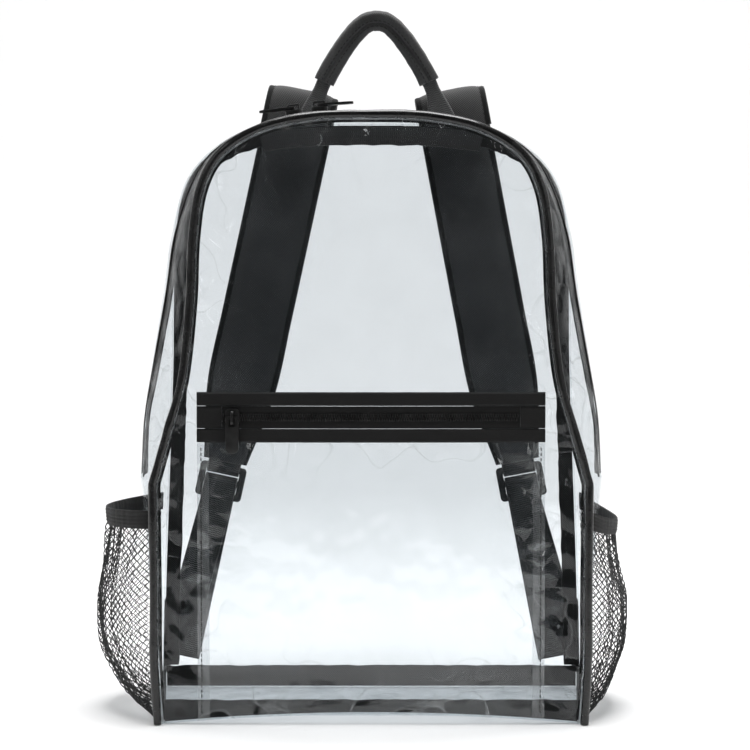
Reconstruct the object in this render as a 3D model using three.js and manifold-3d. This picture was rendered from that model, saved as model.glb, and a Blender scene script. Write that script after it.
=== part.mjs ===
// Clear stadium backpack: a soft body of see-through vinyl with black piping, bound seams, an arched
// main zip, a flat zipped pocket on the front, two net side pockets, a wrapped carry handle and
// two padded shoulder straps. Millimetres, +Z up, the front faces -Y, the base rests on Z = 0.
import * as THREE from "three";
import { mergeVertices } from "three/addons/utils/BufferGeometryUtils.js";
import Module from "manifold-3d";

const wasm = await Module();
wasm.setup();

// Driving dimensions of the body
const BODY_HEIGHT = 430;
const FRONT_HALF_WIDTH = 150;
const BACK_HALF_WIDTH = 160;
const BODY_DEPTH = 140;
const FRONT_CROWN_DEPTH = 6;
const GUSSET_BULGE_WIDTH = 20;
const BASE_LIFT_HEIGHT = 7;
const BASE_LIFT_DEPTH = 38;
const VINYL_THICKNESS = 1;
const GAP = 0.3;
const SEAM_ROOM = 0.2;

// Seams
const PIPING_RADIUS = 3.2;
const PIPING_FOOT = 0.6;
const SEAM_BINDING_WIDTH = 11;
const SEAM_BINDING_THICKNESS = 1.6;
const BASE_BINDING_TOP = 17;
const BASE_STRIP_RISE = 0.4;
const BASE_STRIP_EDGE_SHARE = 0.04;
const FIN_START_SHARE = 0.004;

// Main zip, laid in the middle of the gusset
const ZIP_WIDTH = 30;
const ZIP_TAPE_THICKNESS = 1;
const ZIP_COIL_WIDTH = 5;
const ZIP_COIL_HEIGHT = 1.8;
const ZIP_COIL_SLOPE_WIDTH = 0.5;
const ZIP_LAP_WIDTH = 3;

// Sliders and pulls
const SLIDER_LENGTH = 12;
const SLIDER_WIDTH = 9.5;
const SLIDER_HEIGHT = 3.6;
const SLIDER_CORNER = 2.5;
const BRIDGE_WIDTH = 2;
const BRIDGE_LENGTH = 9;
const BRIDGE_ROOM = 3;
const BRIDGE_BAR = 1.3;
const BRIDGE_SHOULDER_SHARE = 0.4;
const BRIDGE_SINK_DEPTH = 0.5;
const PULL_LENGTH = 25;
const PULL_WIDTH = 9;
const PULL_THICKNESS = 1.6;
const PULL_EYE_LENGTH = 5.4;
const PULL_EYE_WIDTH = 4.4;
const PULL_END_BAR = 1.6;
const PULL_FLAT_WIDTH = 0.3;
const MAIN_SLIDERS_X = -46;
const MAIN_SLIDERS_SPACING = 18;
const POCKET_SLIDER_X = -96;

// Front pocket
const POCKET_MARGIN_WIDTH = 29;
const POCKET_HALF_WIDTH = FRONT_HALF_WIDTH - POCKET_MARGIN_WIDTH;
const POCKET_ZIP_TOP = 233;
const POCKET_ZIP_HEIGHT = 35;
const POCKET_STRIP_HEIGHT = 9.5;
const POCKET_STRIP_THICKNESS = 1.6;
const POCKET_TAB_WIDTH = 17.5;
const POCKET_BULGE_DEPTH = 2.5;
const POCKET_SEAT = 0.7;
const STRIP_STEP_WIDTH = 24;

// Net side pockets
const NET_POCKET_HEIGHT = 137;
const NET_DROOP_HEIGHT = { left: 3, right: 10 };
const NET_BAND_HEIGHT = 13;
const NET_BAND_THICKNESS = 2.2;
const NET_THICKNESS = 1.2;
const NET_BULGE_WIDTH = 40;
const NET_CELLS_ROUND = 8;
const NET_CELLS_UP = 6;
const NET_STRAND_SHARE = 0.2;
const NET_SEAT = 0.5;
const NET_FOOT_SHARE = 0.012;
const NET_ARCH_POWER = 0.6;

// Carry handle
const HANDLE_CENTRE_X = 4;
const HANDLE_HALF_SPAN = 48;
const HANDLE_RISE = 87;
const HANDLE_FOOT_DROP = 9;
const HANDLE_WEB_WIDTH = 25;
const HANDLE_WEB_THICKNESS = 2;
const HANDLE_CORE_WIDTH = 11;
const HANDLE_CORE_THICKNESS = 3.6;
const HANDLE_WRAP_WIDTH = 15.5;
const HANDLE_WRAP_THICKNESS = 8;
const HANDLE_WRAP_FROM = 0.47;
const HANDLE_WRAP_CUT_WIDTH = 1.8;
const HANDLE_WRAP_ROOM_WIDTH = 1;
const HANDLE_CORE_CUT_WIDTH = 0.3;
const HANDLE_FOLD_START = 0.4; // in rows of the handle from its foot
const HANDLE_FOLD_LEAD = 0.3;
const HANDLE_TILT = 35;
const TOP_STRIP_HALF_WIDTH = 86;
const TOP_STRIP_HEIGHT = 15;
const TOP_STRIP_THICKNESS = 2;
const TOP_STRIP_INSET = 1;

// Shoulder straps
const STRAP_WIDTH = 54;
const STRAP_THICKNESS = 8;
const STRAP_EDGE_CUT_WIDTH = 2.2;
const STRAP_TOP_X = 55;
const STRAP_END_X = 112;
const STRAP_RISE_HEIGHT = 28;
const STRAP_RUN_HEIGHT = 282;
const STRAP_TOP_Z = BODY_HEIGHT + STRAP_RISE_HEIGHT;
const STRAP_END_Z = STRAP_TOP_Z - STRAP_RUN_HEIGHT;
const STRAP_STANDOFF = 19;
const WEBBING_WIDTH = 25;
const WEBBING_THICKNESS = 1.6;
const TAIL_LENGTH = 138;
const BUCKLE_WIDTH = 36;
const BUCKLE_HEIGHT = 26.5;
const BUCKLE_THICKNESS = 3;
const BUCKLE_BAR = 5;
const BUCKLE_CORNER = 3;
const LOCK_LOOP_LENGTH = 2.5;
const WEBBING_LEAD_LENGTH = 4;
const TAB_LOW = 6;
const TAB_SEAM_LENGTH = 60;
const TAB_TIP_Z = 80;
const TAB_REACH = 24;
const TAB_TIP_WIDTH = 30;
const TAB_THICKNESS = 2;
const TAB_LAP = 14;
const TAB_LEAN_SHARE = 0.35;

// Outlines of the front seam and the back seam, from the bottom corner up to the top centre:
// half widths as shares of the front and back half widths, heights as shares of the body height,
// and the outward bulge of the gusset between the two seams as a share of its largest bulge.
const OUTLINE = [
  { front: 0.977, frontUp: 0, back: 1, backUp: 0, bulge: 0 },
  { front: 0.993, frontUp: 0.105, back: 0.994, backUp: 0.105, bulge: 0.25 },
  { front: 0.993, frontUp: 0.209, back: 0.987, backUp: 0.209, bulge: 0.45 },
  { front: 0.997, frontUp: 0.391, back: 0.969, backUp: 0.391, bulge: 0.8 },
  { front: 0.923, frontUp: 0.481, back: 0.959, backUp: 0.488, bulge: 1 },
  { front: 0.857, frontUp: 0.565, back: 0.95, backUp: 0.593, bulge: 0.95 },
  { front: 0.82, frontUp: 0.686, back: 0.947, backUp: 0.709, bulge: 0.65 },
  { front: 0.807, frontUp: 0.789, back: 0.94, backUp: 0.802, bulge: 0.4 },
  { front: 0.77, frontUp: 0.87, back: 0.887, backUp: 0.893, bulge: 0.16 },
  { front: 0.68, frontUp: 0.924, back: 0.762, backUp: 0.951, bulge: 0.18 },
  { front: 0.5, frontUp: 0.962, back: 0.55, backUp: 0.986, bulge: 0.24 },
  { front: 0.263, frontUp: 0.98, back: 0.281, backUp: 0.998, bulge: 0.32 },
  { front: 0, frontUp: 0.983, back: 0, backUp: 1, bulge: 0.35 },
];
const CORNER_ROW = 3; // the front seam bends here, and the zip and gusset end
const APEX_ROW = OUTLINE.length - 1;
const SHOULDER_ROWS = [7, 8, 9]; // spans with one more step each, where the seam turns

// Net pocket bulge past the side panel, as shares of the net's fullness, from base to rim.
const NET_ROWS = [
  { up: 0, left: 0.1, right: 0.1 },
  { up: 0.07, left: 0.5, right: 0.34 },
  { up: 0.2, left: 0.74, right: 0.5 },
  { up: 0.36, left: 0.92, right: 0.6 },
  { up: 0.6, left: 0.89, right: 0.56 },
  { up: 0.8, left: 0.73, right: 0.38 },
  { up: 1, left: 0.6, right: 0.27 },
];

// Half of the handle, from its foot to its top: across as a share of the half span, up of the rise.
const HANDLE_ROWS = [
  { across: 1.06, up: 0 },
  { across: 1, up: 0.21 },
  { across: 0.83, up: 0.47 },
  { across: 0.61, up: 0.69 },
  { across: 0.38, up: 0.87 },
  { across: 0.18, up: 0.975 },
  { across: 0, up: 1 },
];

// Run of a padded strap from its top seam, over the fold and down: out from the back panel as a
// share of the standoff, down from the fold as a share of the strap's drop, and width as a share
// of the strap's width.
const STRAP_ROWS = [
  { out: 0, down: 0.1, width: 1 },
  { out: 0.02, down: 0.045, width: 1 },
  { out: 0.15, down: 0.012, width: 1 },
  { out: 0.44, down: 0, width: 1 },
  { out: 0.73, down: 0.012, width: 1 },
  { out: 0.88, down: 0.045, width: 1 },
  { out: 0.96, down: 0.1, width: 1 },
  { out: 1, down: 0.22, width: 1 },
  { out: 0.97, down: 0.4, width: 1 },
  { out: 0.85, down: 0.6, width: 1 },
  { out: 0.68, down: 0.8, width: 0.98 },
  { out: 0.5, down: 1, width: 0.62 },
];

// Materials
const material = (color, roughness, metalness = 0, opacity = 1) =>
  new THREE.MeshStandardMaterial({
    color,
    roughness,
    metalness,
    opacity,
    transparent: opacity < 1,
  });
const clearVinyl = () => material(0xdde4e6, 0.12, 0, 0.3);
const blackCloth = () => material(0x1b1b1c, 0.85);
const blackTrim = () => material(0x111112, 0.35);
const blackPlastic = () => material(0x161617, 0.4);
const strapCloth = () => material(0x3a3a3c, 0.9);
const blackNet = () => material(0x151516, 0.7);
const paintedMetal = () => material(0x1a1a1b, 0.4, 0.6);

const pack = new THREE.Group();

function add(name, geometry, finish) {
  const mesh = new THREE.Mesh(geometry, finish);
  mesh.name = name;
  pack.add(mesh);
  return mesh;
}

const vec = (x, y, z) => new THREE.Vector3(x, y, z);
const mix = (a, b, share) => a + (b - a) * share;
const steps = (count) => Array.from({ length: count + 1 }, (_, i) => i / count);

// Closed body from points and triangles, turned so that its faces point out
function body(points, faces) {
  const cross = new THREE.Vector3();
  let volume = 0;
  for (const [a, b, c] of faces) {
    volume += points[a].dot(cross.crossVectors(points[b], points[c]));
  }
  const index = faces.flatMap(([a, b, c]) => (volume < 0 ? [a, c, b] : [a, b, c]));
  const geometry = new THREE.BufferGeometry().setFromPoints(points);
  geometry.setIndex(index);
  geometry.computeVertexNormals();
  return geometry;
}

// Wall between two grids of points, closed round its four edges
function wall(outer, inner) {
  const rows = outer.length;
  const columns = outer[0].length;
  const points = [...outer.flat(), ...inner.flat()];
  const at = (side, i, j) => (side * rows + i) * columns + j;
  const faces = [];
  const quad = (a, b, c, d) => faces.push([a, b, c], [a, c, d]);
  for (let i = 0; i + 1 < rows; i += 1) {
    for (let j = 0; j + 1 < columns; j += 1) {
      quad(at(0, i, j), at(0, i + 1, j), at(0, i + 1, j + 1), at(0, i, j + 1));
      quad(at(1, i, j), at(1, i, j + 1), at(1, i + 1, j + 1), at(1, i + 1, j));
    }
    quad(at(0, i, 0), at(1, i, 0), at(1, i + 1, 0), at(0, i + 1, 0));
    const last = columns - 1;
    quad(at(0, i, last), at(0, i + 1, last), at(1, i + 1, last), at(1, i, last));
  }
  for (let j = 0; j + 1 < columns; j += 1) {
    const last = rows - 1;
    quad(at(0, 0, j), at(0, 0, j + 1), at(1, 0, j + 1), at(1, 0, j));
    quad(at(0, last, j), at(1, last, j), at(1, last, j + 1), at(0, last, j + 1));
  }
  return body(points, faces);
}

// The same wall with a diamond gap through each cell, leaving strands along the cell edges
function netWall(outer, inner, strandShare) {
  const rows = outer.length;
  const columns = outer[0].length;
  const points = [...outer.flat(), ...inner.flat()];
  const at = (side, i, j) => (side * rows + i) * columns + j;
  const faces = [];
  const quad = (a, b, c, d) => faces.push([a, b, c], [a, c, d]);
  for (let i = 0; i + 1 < rows; i += 1) {
    for (let j = 0; j + 1 < columns; j += 1) {
      const gaps = [0, 1].map((side) => {
        const corners = [
          [i, j],
          [i + 1, j],
          [i + 1, j + 1],
          [i, j + 1],
        ].map(([row, column]) => at(side, row, column));
        const centre = new THREE.Vector3();
        corners.forEach((corner) => centre.addScaledVector(points[corner], 1 / corners.length));
        const gap = corners.map((corner, k) => {
          const middle = points[corner].clone().lerp(points[corners[(k + 1) % 4]], 0.5);
          return points.push(middle.lerp(centre, strandShare)) - 1;
        });
        corners.forEach((corner, k) => {
          const next = (k + 1) % 4;
          const around = [
            [corner, corners[next], gap[k]],
            [corners[next], gap[next], gap[k]],
          ];
          around.forEach(([a, b, c]) => faces.push(side ? [a, c, b] : [a, b, c]));
        });
        return gap;
      });
      for (let k = 0; k < 4; k += 1) {
        const next = (k + 1) % 4;
        quad(gaps[0][k], gaps[0][next], gaps[1][next], gaps[1][k]);
      }
    }
    quad(at(0, i, 0), at(1, i, 0), at(1, i + 1, 0), at(0, i + 1, 0));
    const last = columns - 1;
    quad(at(0, i, last), at(0, i + 1, last), at(1, i + 1, last), at(1, i, last));
  }
  for (let j = 0; j + 1 < columns; j += 1) {
    const last = rows - 1;
    quad(at(0, 0, j), at(0, 0, j + 1), at(1, 0, j + 1), at(1, 0, j));
    quad(at(0, last, j), at(1, last, j), at(1, last, j + 1), at(0, last, j + 1));
  }
  return body(points, faces);
}

// Unit normals of a grid of points, all on one side of it
function gridNormals(grid) {
  const rows = grid.length;
  const columns = grid[0].length;
  return grid.map((row, i) =>
    row.map((_, j) => {
      const up = grid[Math.min(i + 1, rows - 1)][j].clone().sub(grid[Math.max(i - 1, 0)][j]);
      const across = row[Math.min(j + 1, columns - 1)].clone().sub(row[Math.max(j - 1, 0)]);
      return up.cross(across).normalize();
    }),
  );
}

// Grid moved along its own normals, which point away from the middle of the body
function offsetGrid(grid, distance) {
  const normals = gridNormals(grid);
  const middle = grid[Math.floor(grid.length / 2)][Math.floor(grid[0].length / 2)];
  const normal = normals[Math.floor(grid.length / 2)][Math.floor(grid[0].length / 2)];
  const outward = vec(middle.x, middle.y - BODY_DEPTH / 2, middle.z - BODY_HEIGHT / 2);
  const side = normal.dot(outward) < 0 ? -1 : 1;
  const by = (i, j) => (typeof distance === "function" ? distance(i, j) : distance);
  return grid.map((row, i) =>
    row.map((point, j) => point.clone().addScaledVector(normals[i][j], side * by(i, j))),
  );
}

// Solid through a row of convex loops with the same number of points
function loft(loops) {
  const count = loops[0].length;
  const points = loops.flat();
  const faces = [];
  for (let i = 0; i + 1 < loops.length; i += 1) {
    for (let k = 0; k < count; k += 1) {
      const next = (k + 1) % count;
      const here = i * count;
      const there = here + count;
      faces.push([here + k, here + next, there + next], [here + k, there + next, there + k]);
    }
  }
  const end = (loops.length - 1) * count;
  for (let k = 1; k + 1 < count; k += 1) {
    faces.push([0, k + 1, k], [end, end + k, end + k + 1]);
  }
  return body(points, faces);
}

// Sleeve between an outer and an inner row of loops, open at both ends
function sleeve(outer, inner) {
  const count = outer[0].length;
  const rows = outer.length;
  const points = [...outer.flat(), ...inner.flat()];
  const at = (side, i, k) => (side * rows + i) * count + (k % count);
  const faces = [];
  const quad = (a, b, c, d) => faces.push([a, b, c], [a, c, d]);
  for (let k = 0; k < count; k += 1) {
    for (let i = 0; i + 1 < rows; i += 1) {
      quad(at(0, i, k), at(0, i, k + 1), at(0, i + 1, k + 1), at(0, i + 1, k));
      quad(at(1, i, k), at(1, i + 1, k), at(1, i + 1, k + 1), at(1, i, k + 1));
    }
    const last = rows - 1;
    quad(at(0, 0, k), at(1, 0, k), at(1, 0, k + 1), at(0, 0, k + 1));
    quad(at(0, last, k), at(0, last, k + 1), at(1, last, k + 1), at(1, last, k));
  }
  return body(points, faces);
}

// Loop of a rectangle with cut corners, in the plane of two unit directions
function band(centre, across, through, width, thickness, cut = 0) {
  const w = width / 2;
  const t = thickness / 2;
  const corners = cut
    ? [
        [w, -t + cut],
        [w, t - cut],
        [w - cut, t],
        [cut - w, t],
        [-w, t - cut],
        [-w, cut - t],
        [cut - w, -t],
        [w - cut, -t],
      ]
    : [
        [w, -t],
        [w, t],
        [-w, t],
        [-w, -t],
      ];
  return corners.map(([u, v]) => centre.clone().addScaledVector(across, u).addScaledVector(through, v));
}

// Value between the rows of a table, smooth through its rows and with a corner at the sharp row
function smooth(rows, column, place, sharp = -1, mirrored = false) {
  const last = rows.length - 1;
  const i = Math.min(Math.floor(place), last - 1);
  const share = place - i;
  const value = (k) => rows[k][column];
  const before = i === 0 || i === sharp ? 2 * value(i) - value(i + 1) : value(i - 1);
  let after = 2 * value(i + 1) - value(i);
  if (i + 2 <= last && i + 1 !== sharp) after = value(i + 2);
  if (i + 1 === last && mirrored) after = mirrored * value(i);
  const p0 = before;
  const p1 = value(i);
  const p2 = value(i + 1);
  const p3 = after;
  const slopeHere = (p2 - p0) / 2;
  const slopeThere = (p3 - p1) / 2;
  const cube = 2 * p1 - 2 * p2 + slopeHere + slopeThere;
  const square = -3 * p1 + 3 * p2 - 2 * slopeHere - slopeThere;
  return ((cube * share + square) * share + slopeHere) * share + p1;
}

// Front seam, back seam and gusset between them. A place runs from 0 at one bottom corner over the
// top to twice the last row at the other bottom corner, starting on the right.
const END_PLACE = 2 * APEX_ROW;

function row(place) {
  const side = place <= APEX_ROW ? 1 : -1;
  const along = place <= APEX_ROW ? place : END_PLACE - place;
  const read = (column, mirror) => smooth(OUTLINE, column, along, CORNER_ROW, mirror);
  return {
    frontX: side * read("front", -1) * FRONT_HALF_WIDTH,
    frontZ: read("frontUp", 1) * BODY_HEIGHT,
    backX: side * read("back", -1) * BACK_HALF_WIDTH,
    backZ: read("backUp", 1) * BODY_HEIGHT,
    bulge: read("bulge", 1) * GUSSET_BULGE_WIDTH,
  };
}

function places(from, to) {
  const list = [];
  for (let span = 0; span < END_PLACE; span += 1) {
    const near = span < APEX_ROW ? span : END_PLACE - 1 - span;
    const count = SHOULDER_ROWS.includes(near) ? 3 : 2;
    for (let k = 0; k < count; k += 1) {
      list.push(span + k / count);
    }
  }
  list.push(END_PLACE);
  const inside = list.filter((place) => place > from && place < to);
  return [from, ...inside, to];
}

// Last place on the way up the right side before a test of its row fails
const HALVINGS = 24;

function placeWhile(test) {
  let low = 0;
  let high = APEX_ROW;
  for (let k = 0; k < HALVINGS; k += 1) {
    const half = (low + high) / 2;
    if (test(row(half))) low = half;
    else high = half;
  }
  return low;
}

const placeAtHeight = (z) => placeWhile(({ frontZ }) => frontZ < z);

// Direction away from the body, square to the seam, in the plane of the front
function outward(place) {
  const step = 0.05;
  const a = row(Math.max(place - step, 0));
  const b = row(Math.min(place + step, END_PLACE));
  const along = vec(b.frontX - a.frontX + b.backX - a.backX, 0, b.frontZ - a.frontZ + b.backZ - a.backZ);
  return vec(along.z, 0, -along.x).normalize();
}

const baseLift = (x, y) => {
  const near = Math.max(1 - y / BASE_LIFT_DEPTH, 0);
  const wide = Math.max(1 - (x / FRONT_HALF_WIDTH) ** 2, 0);
  return BASE_LIFT_HEIGHT * wide * near * near;
};

const frontY = (x, z) => {
  const wide = Math.max(1 - (x / FRONT_HALF_WIDTH) ** 2, 0);
  return -FRONT_CROWN_DEPTH * wide * Math.sin(Math.PI * Math.min(z / BODY_HEIGHT, 1));
};

// Outer face of the gusset or side panel, at a share of the way from the front to the back seam
function gussetPoint(place, share, push = 0) {
  const { frontX, frontZ, backX, backZ, bulge } = row(place);
  const out = outward(place);
  const point = vec(
    mix(frontX, backX, share),
    mix(frontY(frontX, frontZ) + VINYL_THICKNESS + GAP, BODY_DEPTH - VINYL_THICKNESS - GAP, share),
    mix(frontZ, backZ, share),
  );
  return point.addScaledVector(out, bulge * Math.sin(Math.PI * share) + push);
}

const gussetGrid = (from, to, shares) =>
  places(from, to).map((place) => shares.map((share) => gussetPoint(place, share)));

const sharesBetween = (from, to, count) => steps(count).map((share) => mix(from, to, share));

// Flat or crowned panel of clear vinyl inside a closed outline of points in X and Z
function panel(outline, centre, rings, frontFace, backFace) {
  const count = outline.length;
  const points = [];
  const faces = [];
  [frontFace, backFace].forEach((depth, side) => {
    const first = points.length;
    points.push(vec(centre.x, depth(centre.x, centre.z), centre.z));
    rings.forEach((ring) => {
      outline.forEach(({ x, z }) => {
        const px = mix(centre.x, x, ring);
        const pz = mix(centre.z, z, ring);
        points.push(vec(px, depth(px, pz), pz));
      });
    });
    const turn = (a, b, c) => faces.push(side ? [a, c, b] : [a, b, c]);
    for (let k = 0; k < count; k += 1) {
      const next = (k + 1) % count;
      turn(first, first + 1 + k, first + 1 + next);
      for (let ring = 0; ring + 1 < rings.length; ring += 1) {
        const here = first + 1 + ring * count;
        const there = here + count;
        turn(here + k, there + k, there + next);
        turn(here + k, there + next, here + next);
      }
    }
  });
  const half = points.length / 2;
  const rim = 1 + (rings.length - 1) * count;
  for (let k = 0; k < count; k += 1) {
    const next = (k + 1) % count;
    faces.push([rim + k, half + rim + k, half + rim + next], [rim + k, half + rim + next, rim + next]);
  }
  return body(points, faces);
}

const BOTTOM_STEPS = 10;

function bottomRun(halfWidth, lift) {
  const inner = steps(BOTTOM_STEPS).slice(1, -1);
  return inner.map((share) => {
    const x = mix(-halfWidth, halfWidth, share);
    return { x, z: lift(x) };
  });
}

function buildPanels() {
  const around = places(0, END_PLACE).map(row);
  const frontOutline = [
    ...around.map(({ frontX, frontZ }) => ({ x: frontX, z: frontZ })),
    ...bottomRun(around[0].frontX, (x) => baseLift(x, 0)),
  ];
  const backOutline = [
    ...around.map(({ backX, backZ }) => ({ x: backX, z: backZ })),
    ...bottomRun(around[0].backX, () => 0),
  ];
  const centre = { x: 0, z: BODY_HEIGHT / 2 };
  const crownRings = [0.4, 0.78, 1];
  const flatRings = [1];
  const front = panel(frontOutline, centre, crownRings, frontY, (x, z) => frontY(x, z) + VINYL_THICKNESS);
  const back = panel(backOutline, centre, flatRings, () => BODY_DEPTH - VINYL_THICKNESS, () => BODY_DEPTH);
  add("front_panel", front, clearVinyl());
  add("back_panel", back, clearVinyl());
}

const zipShare = ZIP_WIDTH / 2 / BODY_DEPTH;
const lapShare = ZIP_LAP_WIDTH / BODY_DEPTH;

function buildGusset() {
  const right = CORNER_ROW;
  const left = END_PLACE - CORNER_ROW;
  const finEdge = SEAM_BINDING_WIDTH / BODY_DEPTH;
  const frontShares = [0, ...sharesBetween(finEdge, 0.5 - zipShare, 2)];
  const front = gussetGrid(right, left, frontShares);
  const rear = gussetGrid(right, left, sharesBetween(0.5 + zipShare, 1, 3));
  add("gusset_front", wall(front, offsetGrid(front, -VINYL_THICKNESS)), clearVinyl());
  add("gusset_rear", wall(rear, offsetGrid(rear, -VINYL_THICKNESS)), clearVinyl());
  const tapeShares = [
    0.5 - zipShare - lapShare,
    0.5 - ZIP_COIL_WIDTH / BODY_DEPTH,
    0.5 - ZIP_COIL_WIDTH / 2 / BODY_DEPTH,
    0.5 + ZIP_COIL_WIDTH / 2 / BODY_DEPTH,
    0.5 + ZIP_COIL_WIDTH / BODY_DEPTH,
    0.5 + zipShare + lapShare,
  ];
  const face = gussetGrid(right, left, tapeShares);
  const tapeTop = -VINYL_THICKNESS - 2 * GAP;
  const coilColumns = [2, 3];
  const top = offsetGrid(face, (i, j) => tapeTop + (coilColumns.includes(j) ? ZIP_COIL_HEIGHT : 0));
  const under = offsetGrid(face, tapeTop - ZIP_TAPE_THICKNESS);
  add("main_zip", wall(top, under), blackCloth());
}

const sideShares = sharesBetween(0, 1, 6);

function sideGrid(side, from, to, push = 0) {
  const list = places(from, to).map((place) => (side > 0 ? place : END_PLACE - place));
  return list.map((place) => sideShares.map((share) => gussetPoint(place, share, push)));
}

function buildSidesAndBase() {
  const topPlace = placeAtHeight(row(CORNER_ROW).frontZ - GAP);
  for (const [name, side] of [
    ["left", -1],
    ["right", 1],
  ]) {
    const grid = sideGrid(side, 0, topPlace);
    add(`side_panel_${name}`, wall(grid, offsetGrid(grid, -VINYL_THICKNESS)), clearVinyl());
  }
  const clear = VINYL_THICKNESS + GAP;
  const liftSteps = sharesBetween(clear, clear + BASE_LIFT_DEPTH, 3);
  const depths = [...liftSteps, BODY_DEPTH - clear];
  const halfWidth = (y) => mix(row(0).frontX, row(0).backX, y / BODY_DEPTH) - clear;
  const under = depths.map((y) =>
    steps(BOTTOM_STEPS).map((share) => {
      const x = mix(-halfWidth(y), halfWidth(y), share);
      return vec(x, y, baseLift(x, y - clear));
    }),
  );
  const over = under.map((line) => line.map((point) => point.clone().add(vec(0, 0, VINYL_THICKNESS))));
  add("base_panel", wall(over, under), clearVinyl());
}

// Piping round the front seam, outside the corner where the front panel meets the gusset
const PIPING_SIDES = 7;

function buildPiping() {
  const reach = (PIPING_RADIUS + GAP) * Math.SQRT1_2;
  const start = placeAtHeight(PIPING_FOOT);
  const loops = places(start, END_PLACE - start).map((place) => {
    const { frontX, frontZ } = row(place);
    const out = outward(place);
    const centre = vec(frontX, frontY(frontX, frontZ) - reach, frontZ).addScaledVector(out, reach);
    const forward = vec(0, -1, 0);
    return Array.from({ length: PIPING_SIDES }, (_, k) => {
      const angle = ((k + 0.5) * 2 * Math.PI) / PIPING_SIDES;
      return centre
        .clone()
        .addScaledVector(out, PIPING_RADIUS * Math.cos(angle))
        .addScaledVector(forward, PIPING_RADIUS * Math.sin(angle));
    });
  });
  add("piping_front", loft(loops), blackTrim());
}

// Black bindings over the raw edges inside the seams
function buildBindings() {
  const inside = VINYL_THICKNESS + GAP;
  const startUp = placeAtHeight(BASE_BINDING_TOP + GAP);
  const run = places(startUp, END_PLACE - startUp);
  const width = SEAM_BINDING_WIDTH;
  const thick = SEAM_BINDING_THICKNESS;
  const backNear = BODY_DEPTH - inside;
  const backRing = (y) =>
    run.map((place) => {
      const { backX, backZ } = row(place);
      const out = outward(place);
      return [inside + SEAM_ROOM, inside + width].map((depth) =>
        vec(backX, y, backZ).addScaledVector(out, -depth),
      );
    });
  add("seam_binding_back", wall(backRing(backNear), backRing(backNear - thick)), blackCloth());
  const finShares = sharesBetween(FIN_START_SHARE, width / BODY_DEPTH, 1);
  const face = run.map((place) => finShares.map((share) => gussetPoint(place, share)));
  const outer = offsetGrid(face, -inside);
  const inner = offsetGrid(face, -inside - thick);
  add("seam_binding_front", wall(outer, inner), blackCloth());

  const frontHalf = row(startUp).frontX - inside - thick - GAP;
  const backHalf = row(startUp).backX - inside - thick - GAP;
  const upright = (halfWidth, y, lift) =>
    steps(BOTTOM_STEPS).map((share) => {
      const x = mix(-halfWidth, halfWidth, share);
      return [vec(x, y, lift(x) + inside), vec(x, y, BASE_BINDING_TOP)];
    });
  const raised = (x) => baseLift(x, 0);
  const level = () => 0;
  const frontNear = inside + SEAM_ROOM;
  const frontFaces = [frontNear, frontNear + thick].map((y) => upright(frontHalf, y, raised));
  const backFaces = [backNear, backNear - thick].map((y) => upright(backHalf, y, level));
  const frontStrip = wall(...frontFaces);
  const backStrip = wall(...backFaces);
  add("base_binding_front", frontStrip, blackCloth());
  add("base_binding_back", backStrip, blackCloth());

  for (const [name, side] of [
    ["left", -1],
    ["right", 1],
  ]) {
    const low = placeAtHeight(inside + BASE_STRIP_RISE);
    const high = placeAtHeight(BASE_BINDING_TOP);
    const shares = sharesBetween(BASE_STRIP_EDGE_SHARE, 1 - BASE_STRIP_EDGE_SHARE, 6);
    const grid = [low, high].map((place) =>
      shares.map((share) => gussetPoint(side > 0 ? place : END_PLACE - place, share)),
    );
    const strip = wall(offsetGrid(grid, -inside), offsetGrid(grid, -inside - thick));
    add(`base_binding_${name}`, strip, blackCloth());
  }
}

// Woven strip across the top of the back panel, inside, which takes the handle and the straps
const innerBackY = BODY_DEPTH - VINYL_THICKNESS - GAP - SEAM_BINDING_THICKNESS - GAP;

function buildTopStrip() {
  const reach = APEX_ROW - placeWhile(({ backX }) => backX > TOP_STRIP_HALF_WIDTH);
  const run = places(APEX_ROW - reach, APEX_ROW + reach);
  const rows = (y) =>
    run.map((place) => {
      const { backX, backZ } = row(place);
      const out = outward(place);
      return [TOP_STRIP_INSET, TOP_STRIP_HEIGHT].map((depth) =>
        vec(backX, y, backZ).addScaledVector(out, -VINYL_THICKNESS - GAP - depth),
      );
    });
  add("top_strip", wall(rows(innerBackY), rows(innerBackY - TOP_STRIP_THICKNESS)), blackCloth());
}

// Flat front pocket: a clear sheet, and a zipped band above it, on the crowned front panel
const pocketBottom = (x) => baseLift(x, 0) + VINYL_THICKNESS;
const pocketSheetTop = POCKET_ZIP_TOP - POCKET_ZIP_HEIGHT;

function pocketY(x, z, stand) {
  const wide = Math.max(1 - (x / POCKET_HALF_WIDTH) ** 2, 0);
  const share = Math.min(Math.max(z / pocketSheetTop, 0), 1);
  const full = POCKET_BULGE_DEPTH * Math.sqrt(wide * Math.sin(Math.PI * share));
  return frontY(x, z) - POCKET_SEAT - full - stand;
}

function frontStrip(fromX, toX, fromZ, toZ, thickness, stand = 0) {
  const columns = Math.max(Math.round((toX - fromX) / STRIP_STEP_WIDTH), 2);
  const grid = (extra) =>
    steps(columns).map((share) => {
      const x = mix(fromX, toX, share);
      return [fromZ, toZ].map((z) => vec(x, frontY(x, z) - POCKET_SEAT - stand - extra, z));
    });
  return wall(grid(thickness), grid(0));
}

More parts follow.
